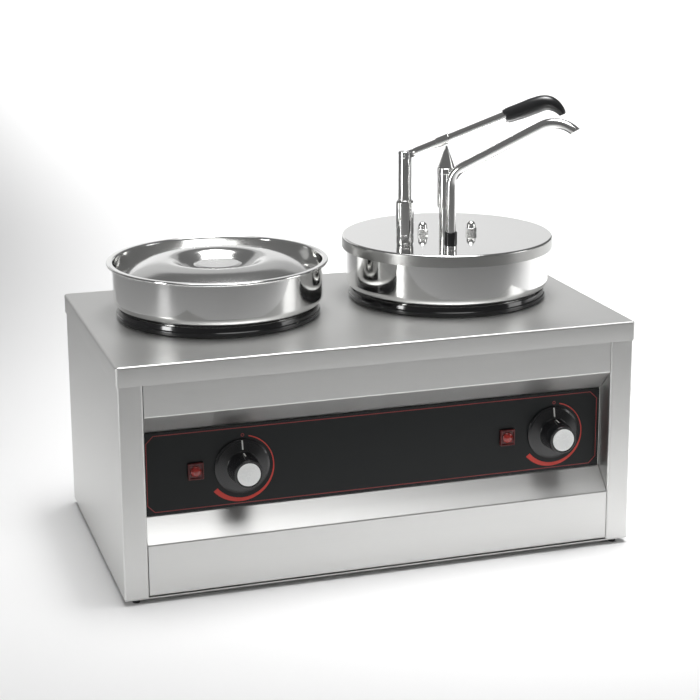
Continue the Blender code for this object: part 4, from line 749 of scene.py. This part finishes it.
class WARMER_OT_pots(bpy.types.Operator):
    """Make the rings, the pots and the sunken lid"""

    bl_idname = "warmer.pots"
    bl_label = "Pots"

    def execute(self, context):
        sizes = context.scene.warmer_pots
        ring_black = finish(
            "ring_gloss_black", lambda name: moulded(name, tones().moulding, 0.12, coat_weight=0.4)
        )
        for side in ("left", "right"):
            low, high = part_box("pot_ring_" + side)
            middle = (low + high) / 2
            centre = (middle.x, middle.y, 0)
            pot_low, pot_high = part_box("pot_" + side)
            bore = sizes.lower_radius + 0.0003
            lip = bore + 0.0024
            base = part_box("top_panel")[1].z + 0.0003
            height = high.z - base
            profile = [
                (bore, high.z), (sizes.ring_radius - 0.0016, high.z),
                (sizes.ring_radius - 0.0010, base + height * 0.55),
                (sizes.ring_radius, base + height * 0.42), (sizes.ring_radius, base), (lip, base),
                (lip, low.z), (bore, low.z),
            ]
            shape = lathe(softened(profile, 0.0009, 4, True), centre, sizes.segments, True)
            put("seal_ring_" + side, shape, "housing", ring_black, ("pot_ring_" + side,))
            self.pot(sizes, side, centre, high.z + 0.0003, pot_low.z, pot_high)
        self.lid(sizes)
        paint(inner_steel(), "well_left", "well_right")
        sheath = finish("heater_sheath", lambda name: brushed(name, (0.16, 0.15, 0.14), (200, 200, 200), 0.5))
        paint(sheath, "heater_left", "heater_right")
        return {"FINISHED"}

    def pot(self, sizes, side, centre, seat, base, high):
        sheet = sizes.sheet
        low_in = sizes.lower_radius - sheet
        high_in = sizes.radius - sheet
        floor = base + sheet
        bend = sizes.shoulder - sheet
        ledge = seat + sheet
        top = high.z
        rim = (high.x - centre[0]) - sizes.curl
        inner = [(0, floor)] + arc((low_in - sizes.corner, floor + sizes.corner), sizes.corner, -90, 0, 8)
        step = [(low_in, ledge - 0.004), (low_in, ledge), (high_in - bend, ledge)]
        inner += softened(step, 0.0012, 4)[1:-1]
        inner += arc((high_in - bend, ledge + bend), bend, -60, 0, 10)
        inner += softened(
            [(high_in, top - 0.0060), (high_in, top - 0.0016), (high_in + 0.0010, top), (rim, top)], 0.0020, 5
        )[:-1]
        inner += arc((rim, top - sizes.curl), sizes.curl, 90, -60, 10)
        outer = beside(inner, -sheet)
        shape = lathe(inner + outer[::-1], centre, sizes.segments)
        put(
            "pot_shell_" + side, shape, side + "_pot",
            polished_at("pot_polished_" + side, "pot_" + side, 0.07), ("pot_" + side,),
        )

    def lid(self, sizes):
        low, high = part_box("pot_lid")
        middle = (low + high) / 2
        centre = (middle.x, middle.y, 0)
        edge = (high.x - low.x) / 2
        crest = high.z
        floor = crest - 0.0150
        path = [
            (0, floor), (0.012, floor), (0.0240, floor + 0.0013), (0.0335, floor + 0.0063),
            (0.0425, crest - 0.0018), (0.0500, crest), (0.0650, crest - 0.0018),
            (0.0780, crest - 0.0063), (0.0900, crest - 0.0127),
        ]
        smooth = [(point.x, point.y) for point in curve_through(path, 8)]
        turn = crest - 0.0190
        smooth += softened([smooth[-1], (edge, turn - 0.0006), (edge, low.z)], 0.0022, 6)[1:]
        shape = lathe(smooth + beside(smooth, -0.0009)[::-1], centre, sizes.segments)
        put(
            "lid_shell", shape, "left_lid", polished_at("lid_polished", "pot_lid", 0.16),
            ("pot_lid",),
        )
        knob_low, knob_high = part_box("lid_knob")
        radius = (knob_high.x - knob_low.x) / 2
        top = knob_high.z
        profile = [
            (0, top), (radius - 0.0030, top - 0.0002), (radius, top - 0.0010), (radius, top - 0.0018),
            (radius - 0.0010, top - 0.0026), (0.0090, top - 0.0034),
            (0.0062, top - 0.0046), (0.0060, knob_low.z),
            (0, knob_low.z),
        ]
        shape = lathe(softened(profile, 0.0008, 4), centre, 96)
        put(
            "lid_handle", shape, "left_lid", polished_at("lid_knob_polished", "lid_knob", 0.22),
            ("lid_knob",),
        )


class WARMER_OT_pump_lid(bpy.types.Operator):
    """Make the pump's lid with its domed nuts"""

    bl_idname = "warmer.pump_lid"
    bl_label = "Pump lid"

    def execute(self, context):
        low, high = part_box("pump_lid")
        middle = (low + high) / 2
        centre = (middle.x, middle.y, 0)
        edge = (high.x - low.x) / 2
        path = [(0, high.z)] + arc((edge - 0.0020, high.z - 0.0020), 0.0020, 90, 0, 8) + [(edge, low.z)]
        shape = lathe(path + beside(path, -0.0010)[::-1], centre, context.scene.warmer_pots.segments)
        # The faces below the top take a second finish: the skirt is rougher brushed satin, and its darker
        # colour is painted shade.
        for face in shape.faces:
            middle_z = face.calc_center_median().z
            face.material_index = int(middle_z < high.z - 0.0012)
        # Satin steel whose colour is darkened well below the polished top's: painted shade on the skirt.
        skirt = finish(
            "lid_skirt_satin_painted_shade", lambda name: brushed(name, (0.42, 0.42, 0.41), (300, 300, 2200), 0.30)
        )
        put(
            "pump_lid_shell", shape, "pump", polished_at("pump_lid_polished", "pump_lid", 0.07),
            ("pump_lid",), second=skirt,
        )
        for side in ("left", "right"):
            node = "cap_nut_" + side
            nut_low, nut_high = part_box(node)
            spot = (nut_low + nut_high) / 2
            deck = high.z
            dome = [(0, nut_high.z)] + arc((0, nut_high.z - 0.0046), 0.0046, 70, 0, 8)
            dome += [
                (0.0046, deck + 0.0052), (0.0046, deck + 0.0030), (0.0030, deck + 0.0003),
                (0.0030, nut_low.z), (0, nut_low.z),
            ]
            shape = lathe(dome, (spot.x, spot.y, 0), 48)
            steel = polished_at("nut_polished_" + side, node, 0.14)
            put("nut_dome_" + side, shape, "pump", steel, (node,))
            shape = bmesh.new()
            bmesh.ops.create_cone(
                shape, cap_ends=True, segments=6, radius1=0.00577, radius2=0.00577, depth=0.0050,
                matrix=Matrix.Translation((spot.x, spot.y, deck + 0.0028)),
            )
            bevelled(shape, shape.edges[:], 0.0004, 3)
            put("nut_flats_" + side, shape, "pump", steel)
        return {"FINISHED"}


class WARMER_OT_post(bpy.types.Operator):
    """Make the slotted post, its sleeve and the hinge pin"""

    bl_idname = "warmer.post"
    bl_label = "Post"

    def execute(self, context):
        sizes = context.scene.warmer_pump
        steel = polished_at("post_polished", "pivot_post", 0.09)
        low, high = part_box("pivot_post")
        middle = (low + high) / 2
        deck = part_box("pump_lid")[1].z
        centre = (middle.x, middle.y, 0)
        radius = sizes.post_radius
        profile = [(0, high.z), (radius, high.z), (radius, low.z), (0, low.z)]
        shape = lathe(softened(profile, 0.0008, 4), centre, 64)
        post = put("post_tube", shape, "pump", steel, ("pivot_post",), weighted=False)
        turn = lever_turn()
        depth = high.z - (deck + sizes.pivot_height) + sizes.slot_depth * 0.6
        cutter = bmesh.new()
        bmesh.ops.create_cube(cutter, size=1.0)
        bmesh.ops.scale(cutter, vec=(0.03, sizes.slot_width, 2 * depth), verts=cutter.verts)
        place = Matrix.Translation((middle.x, middle.y, high.z)) @ Matrix.Rotation(turn, 4, "Z")
        bmesh.ops.transform(cutter, matrix=place, verts=cutter.verts)
        cut_with(post, cutter)
        base = deck + 0.0003
        bore = radius + CLEARANCE
        outer = sizes.sleeve_radius
        top = deck + sizes.sleeve_height
        groove = deck + 0.0102
        profile = [
            (bore, top), (outer - 0.0010, top), (outer, top - 0.0020), (outer, groove + 0.0007),
            (outer - 0.0008, groove + 0.0002), (outer - 0.0008, groove - 0.0002), (outer, groove - 0.0007),
            (outer, deck + 0.0026), (outer - 0.0004, deck + 0.0022), (outer - 0.0004, base), (bore, base),
        ]
        shape = lathe(softened(profile, 0.0004, 3, True), centre, 64, True)
        put("post_collar", shape, "pump", steel, ("post_sleeve",))
        pin_low, pin_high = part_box("pivot_pin")
        spot = (pin_low + pin_high) / 2
        reach = radius + 0.0006
        profile = [
            (0, reach), (0.0018, reach - 0.0003), (0.0018, -reach + 0.0003), (0, -reach),
        ]
        across = Matrix.Rotation(turn, 4, "Z") @ Matrix.Rotation(math.pi / 2, 4, "X")
        shape = lathe(softened(profile, 0.0003, 3), spot, 32, frame_matrix=across)
        put("hinge_pin", shape, "pump", steel, ("pivot_pin",))
        return {"FINISHED"}


def lever_turn():
    """Direction of the lever in plan, from the post to the plunger."""
    post = centre_of("pivot_post")
    pump = centre_of("plunger_cap")
    return math.atan2(pump.y - post.y, pump.x - post.x)


def cut_with(piece, cutter):
    """Cut a finished piece with a bmesh, and leave no modifier behind."""
    mesh = bpy.data.meshes.new("cutter")
    cutter.to_mesh(mesh)
    cutter.free()
    tool = bpy.data.objects.new("cutter", mesh)
    bpy.context.scene.collection.objects.link(tool)
    step = piece.modifiers.new("cut", "BOOLEAN")
    step.object = tool
    step.solver = "EXACT"
    bpy.context.view_layer.update()
    graph = bpy.context.evaluated_depsgraph_get()
    done = bpy.data.meshes.new_from_object(piece.evaluated_get(graph))
    piece.modifiers.remove(step)
    old = piece.data
    done.name = old.name + "_cut"
    piece.data = done
    bpy.data.meshes.remove(old)
    bpy.data.objects.remove(tool, do_unlink=True)
    return piece


class WARMER_OT_lever(bpy.types.Operator):
    """Make the lever, its wear sleeve and its grip"""

    bl_idname = "warmer.lever"
    bl_label = "Lever"

    def execute(self, context):
        sizes = context.scene.warmer_pump
        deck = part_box("pump_lid")[1].z
        post = centre_of("pivot_post")
        pivot = Vector((post.x, post.y, deck + sizes.pivot_height))
        place = (
            Matrix.Translation(pivot) @ Matrix.Rotation(lever_turn(), 4, "Z")
            @ Matrix.Rotation(-sizes.lever_angle, 4, "Y")
        )
        steel = finish(
            "lever_polished", lambda name: brushed(name, tones().polished, (400, 400, 400), 0.12, 0.03)
        )
        radius = sizes.lever_radius
        stations = [
            (0.0085, 0.70), (0.0095, 0.86), (0.0110, 0.97), (0.0130, 1.0), (0.0400, 1.0), (0.0800, 1.0),
            (sizes.lever_length, 1.0),
        ]
        route = [Vector((along, 0, 0)) for along, share in stations]
        shape = swept(route, [radius * share for along, share in stations], 40, place)
        put("lever_tube", shape, "lever", steel, ("lever_arm",))
        tongue = [(0.0120, -0.0034), (0.0120, 0.0034)] + arc((0, 0), 0.0042, 90, 270, 20)
        shape = prism(tongue, lambda x, z: (x, -0.0019, z), (0, 0.0038, 0))
        bmesh.ops.transform(shape, matrix=place, verts=shape.verts)
        put("lever_tongue", shape, "lever", steel)
        bore = radius + CLEARANCE
        outer = 0.0048
        along = Matrix.Rotation(math.pi / 2, 4, "Y")
        profile = [(bore, 0.0475), (outer, 0.0475), (outer, 0.0345), (bore, 0.0345)]
        shape = lathe(softened(profile, 0.0004, 3, True), (0, 0, 0), 48, True)
        bmesh.ops.transform(shape, matrix=place @ along, verts=shape.verts)
        put("lever_wear_sleeve", shape, "lever", steel, ("wear_sleeve",))
        self.grip(sizes, place)
        return {"FINISHED"}

    def grip(self, sizes, place):
        start = sizes.grip_start
        stations = [
            (0.0000, -0.0009, 0.0066), (0.0006, -0.0010, 0.0072), (0.0080, -0.0014, 0.0076),
            (0.0160, -0.0018, 0.0079), (0.0270, -0.0020, 0.0080), (0.0355, -0.0027, 0.0075),
            (0.0415, -0.0052, 0.0068), (0.0458, -0.0100, 0.0057), (0.0482, -0.0152, 0.0044),
            (0.0490, -0.0190, 0.0034), (0.0491, -0.0198, 0.0022),
        ]
        path = curve_through([(start + x, up, radius) for x, up, radius in stations], 6)
        route = [Vector((point.x, 0, point.y)) for point in path]
        radii = [point.z for point in path]
        shape = swept(route, radii, 40, place)
        grip_black = finish(
            "grip_black", lambda name: moulded(name, (0.014, 0.014, 0.015), 0.30, coat_weight=0.15)
        )
        put("lever_handle", shape, "lever", grip_black, ("lever_grip",))


class WARMER_OT_plunger(bpy.types.Operator):
    """Make the plunger, the guide and the pump's works"""

    bl_idname = "warmer.plunger"
    bl_label = "Plunger and works"

    def execute(self, context):
        steel = polished_at("plunger_polished", "plunger_cap", 0.09)
        low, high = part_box("plunger_cap")
        middle = centre_of("plunger_cap")
        centre = (middle.x, middle.y, 0)
        radius = 0.0085
        cone = high.z - 0.0214
        bore = 0.0071
        profile = [
            (0, high.z), (0.0009, high.z), (radius, cone + 0.0002), (radius + 0.0003, cone),
            (radius + 0.0003, cone - 0.0050), (radius, cone - 0.0052), (radius, low.z), (bore, low.z),
            (bore, cone - 0.0008), (0, cone - 0.0008),
        ]
        shape = lathe(softened(profile, 0.0003, 3), centre, 64)
        put("plunger_point", shape, "plunger", steel, ("plunger_cap",))
        shape = pipe("guide_tube", 0.0067, 0.0034, 0.0005)
        put("guide_sleeve", shape, "pump", steel, ("guide_tube",))
        for name, node, outer, inner, body in (
            ("cylinder_barrel", "pump_cylinder", 0.0160, 0.0142, "pump"),
            ("suction_pipe", "suction_tube", 0.0080, 0.0070, "pump"),
            ("plunger_shaft", "plunger_rod", 0.0030, 0.0, "plunger"),
            ("riser_pipe", "riser_tube", 0.0045, 0.0, "pump"),
        ):
            shape = pipe(node, outer, inner, 0.0004)
            put(name, shape, body, inner_steel(), (node,))
        paint(inner_steel(), "pump_bracket", "return_spring")
        paint(white_plastic(), "pump_head", "valve_block", "piston")
        seal = finish("seal_black", lambda name: moulded(name, (0.03, 0.03, 0.03), 0.55))
        paint(seal, "piston_seal")
        return {"FINISHED"}


class WARMER_OT_spout(bpy.types.Operator):
    """Make the bent discharge tube with its bushing and ferrule"""

    bl_idname = "warmer.spout"
    bl_label = "Spout"

    def execute(self, context):
        sizes = context.scene.warmer_pump
        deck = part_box("pump_lid")[1].z
        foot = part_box("spout_tube")[0].z
        spot = centre_of("spout_bushing")
        slope = math.radians(29.3)
        tip = math.radians(-39.4)
        route = [(0, foot - deck)] + arc((0.022, 0.0623), 0.022, 180, 119.3, 18)
        out, up = route[-1]
        out += 0.0863 * math.cos(slope)
        up += 0.0863 * math.sin(slope)
        bend = 0.029
        route += arc((out + bend * math.sin(slope), up - bend * math.cos(slope)), bend, 119.3, 50.6, 20)
        out, up = route[-1]
        route.append((out + 0.004 * math.cos(tip), up + 0.004 * math.sin(tip)))
        points = [Vector((x, 0, z)) for x, z in route]
        place = Matrix.Translation((spot.x, spot.y, deck)) @ Matrix.Rotation(sizes.spout_turn, 4, "Z")
        steel = finish(
            "spout_polished", lambda name: brushed(name, tones().polished, (400, 400, 400), 0.10, 0.03)
        )
        radius = sizes.spout_radius
        shape = swept(points, [radius] * len(points), 40, place)
        tube = put("spout_pipe", shape, "pump", steel, ("spout_tube",), weighted=False)
        ahead = Vector((math.cos(tip), 0, math.sin(tip)))
        inner = points[-8:] + [points[-1] + ahead * 0.006]
        cutter = swept(inner, [radius - sizes.spout_wall] * len(inner), 40, place)
        cut_with(tube, cutter)
        end_cut = bmesh.new()
        bmesh.ops.create_cube(end_cut, size=0.02)
        slant = Matrix.Rotation(math.radians(59.4), 4, "Y") @ Matrix.Translation((0.01, 0, 0))
        turn = Matrix.Translation(points[-2]) @ slant
        bmesh.ops.transform(end_cut, matrix=place @ turn, verts=end_cut.verts)
        cut_with(tube, end_cut)
        tube.data.shade_smooth()
        tube.data.set_sharp_from_angle(angle=math.radians(35))
        bore = radius + CLEARANCE
        for name, node, outer, material, slot in (
            ("spout_bush", "spout_bushing", 0.0062, black_gloss(), "gloss_black"),
            ("spout_foot", "spout_ferrule", 0.0060, steel, "polished_steel"),
        ):
            put(name, pipe(node, outer, bore, 0.0005, 48), "pump", material, (node,))
        return {"FINISHED"}


class WARMER_OT_fittings(bpy.types.Operator):
    """Finish the feet, the cable gland and the terminal block"""

    bl_idname = "warmer.fittings"
    bl_label = "Fittings"

    def execute(self, context):
        foot = finish("foot_rubber", lambda name: moulded(name, (0.03, 0.03, 0.03), 0.6, 400.0, 0.00004))
        paint(foot, "foot_front_left", "foot_front_right", "foot_back_left", "foot_back_right")
        gland = finish("gland_black", lambda name: moulded(name, (0.02, 0.02, 0.02), 0.42))
        paint(gland, "cable_gland")
        paint(white_plastic(), "terminal_block")
        return {"FINISHED"}


class WARMER_OT_stage(bpy.types.Operator):
    """Make the floor, the lights and the camera"""

    bl_idname = "warmer.stage"
    bl_label = "Stage"

    def execute(self, context):
        sizes = context.scene.warmer_stage
        self.camera(context, sizes)
        self.floor(context, sizes)
        self.world(context)
        context.scene.view_settings.view_transform = "Standard"
        for name, place, aim, size, power, spread in (
            ("floor_light", (3.25, 3.9, 1.7), (3.25, 3.9, 0), (6.6, 8.4), 240.0, 45),
            ("back_light", (0.2, 4.2, 0.9), (0.2, 0, 0.5), (6.0, 1.2), 8.0, 120),
            ("high_back_light", (0.2, 4.2, 2.3), (0.2, 0, 0.6), (6.0, 1.4), 4.5, 120),
            ("top_light", (0.10, -0.65, 1.9), (-0.10, -0.13, 0.2), (1.1, 0.8), 0.95, 60),
            ("overhead_light", (0.0, 0.1, 2.4), (0.0, 0.0, 0), (1.6, 1.2), 4.5, 60),
            ("left_strip", (-1.35, -0.40, 0.35), (-0.1, 0, 0.30), (0.25, 0.6), 1.5, 90),
            ("right_strip", (1.25, -0.55, 0.45), (0.1, 0, 0.25), (0.45, 0.7), 0.7, 90),
        ):
            self.lamp(context, name, place, aim, size, power, math.radians(spread))
        return {"FINISHED"}

    def lamp(self, context, name, place, aim, size, power, spread):
        light = bpy.data.lights.new(name, "AREA")
        light.shape = "RECTANGLE"
        light.size, light.size_y = size
        light.energy = power
        light.spread = spread
        item = bpy.data.objects.new(name, light)
        item.location = place
        ahead = Vector(aim) - Vector(place)
        item.rotation_euler = ahead.to_track_quat("-Z", "Y").to_euler()
        item.visible_camera = False
        context.scene.collection.objects.link(item)

    def camera(self, context, sizes):
        ahead = Vector((
            math.sin(sizes.turn) * math.cos(sizes.tilt), math.cos(sizes.turn) * math.cos(sizes.tilt),
            -math.sin(sizes.tilt),
        ))
        right = Vector((math.cos(sizes.turn), -math.sin(sizes.turn), 0))
        up = right.cross(ahead)
        turned_right = right * math.cos(sizes.roll) + up * math.sin(sizes.roll)
        turned_up = up * math.cos(sizes.roll) - right * math.sin(sizes.roll)
        lens = bpy.data.cameras.new("photo_camera")
        lens.sensor_width = 36.0
        lens.lens = sizes.lens
        lens.shift_y = sizes.shift
        item = bpy.data.objects.new("photo_camera", lens)
        facing = Matrix((turned_right, turned_up, -ahead)).transposed().to_4x4()
        item.matrix_world = Matrix.Translation(sizes.eye) @ facing
        context.scene.collection.objects.link(item)
        context.scene.camera = item

    def floor(self, context, sizes):
        shape = bmesh.new()
        bmesh.ops.create_grid(shape, x_segments=1, y_segments=1, size=12.0)
        mesh = bpy.data.meshes.new("floor")
        shape.to_mesh(mesh)
        shape.free()
        made = Finish("floor_pale", sizes.floor, 0.85)
        cloud = made.noise(made.place(scale=(2, 2, 2)), 1.0, 2.0, 0.5)
        made.feed(base_color=made.vary(cloud, 0.99, 1.01))
        mesh.materials.append(made.material)
        item = bpy.data.objects.new("floor", mesh)
        context.scene.collection.objects.link(item)

    def world(self, context):
        world = bpy.data.worlds.new("studio")
        world.use_nodes = True
        context.scene.world = world
        tree = world.node_tree
        back = tree.nodes["Background"]
        back.inputs["Color"].default_value = (1.0, 1.0, 1.0, 1.0)
        back.inputs["Strength"].default_value = 0.15


class WARMER_PT_panel(bpy.types.Panel):
    """The warmer's pieces, one button each"""

    bl_idname = "WARMER_PT_panel"
    bl_label = "Sauce warmer"
    bl_space_type = "VIEW_3D"
    bl_region_type = "UI"
    bl_category = "Warmer"

    def draw(self, context):
        for operator in OPERATORS:
            self.layout.operator(operator.bl_idname)
        for name in GROUPS:
            box = self.layout.box()
            group = getattr(context.scene, name)
            for item in group.bl_rna.properties:
                if item.identifier not in ("rna_type", "name"):
                    box.prop(group, item.identifier)


GROUPS = {
    "warmer_housing": WarmerHousing,
    "warmer_fascia": WarmerFascia,
    "warmer_knob": WarmerKnob,
    "warmer_pots": WarmerPots,
    "warmer_pump": WarmerPump,
    "warmer_tones": WarmerTones,
    "warmer_stage": WarmerStage,
}

OPERATORS = (
    WARMER_OT_housing, WARMER_OT_fascia, WARMER_OT_knobs, WARMER_OT_lamps, WARMER_OT_pots, WARMER_OT_pump_lid,
    WARMER_OT_post, WARMER_OT_lever, WARMER_OT_plunger, WARMER_OT_spout, WARMER_OT_fittings, WARMER_OT_stage,
)


def register():
    for item in (*GROUPS.values(), *OPERATORS, WARMER_PT_panel):
        bpy.utils.register_class(item)
    for name, group in GROUPS.items():
        setattr(bpy.types.Scene, name, PointerProperty(type=group))


def unregister():
    for name in GROUPS:
        delattr(bpy.types.Scene, name)
    for item in reversed((*GROUPS.values(), *OPERATORS, WARMER_PT_panel)):
        bpy.utils.unregister_class(item)


def main():
    register()
    bpy.ops.warmer.stage()
    bpy.ops.warmer.housing()
    bpy.ops.warmer.fascia()
    bpy.ops.warmer.knobs()
    bpy.ops.warmer.lamps()
    bpy.ops.warmer.pots()
    bpy.ops.warmer.pump_lid()
    bpy.ops.warmer.post()
    bpy.ops.warmer.lever()
    bpy.ops.warmer.plunger()
    bpy.ops.warmer.spout()
    bpy.ops.warmer.fittings()


if __name__ == "__main__":
    main()
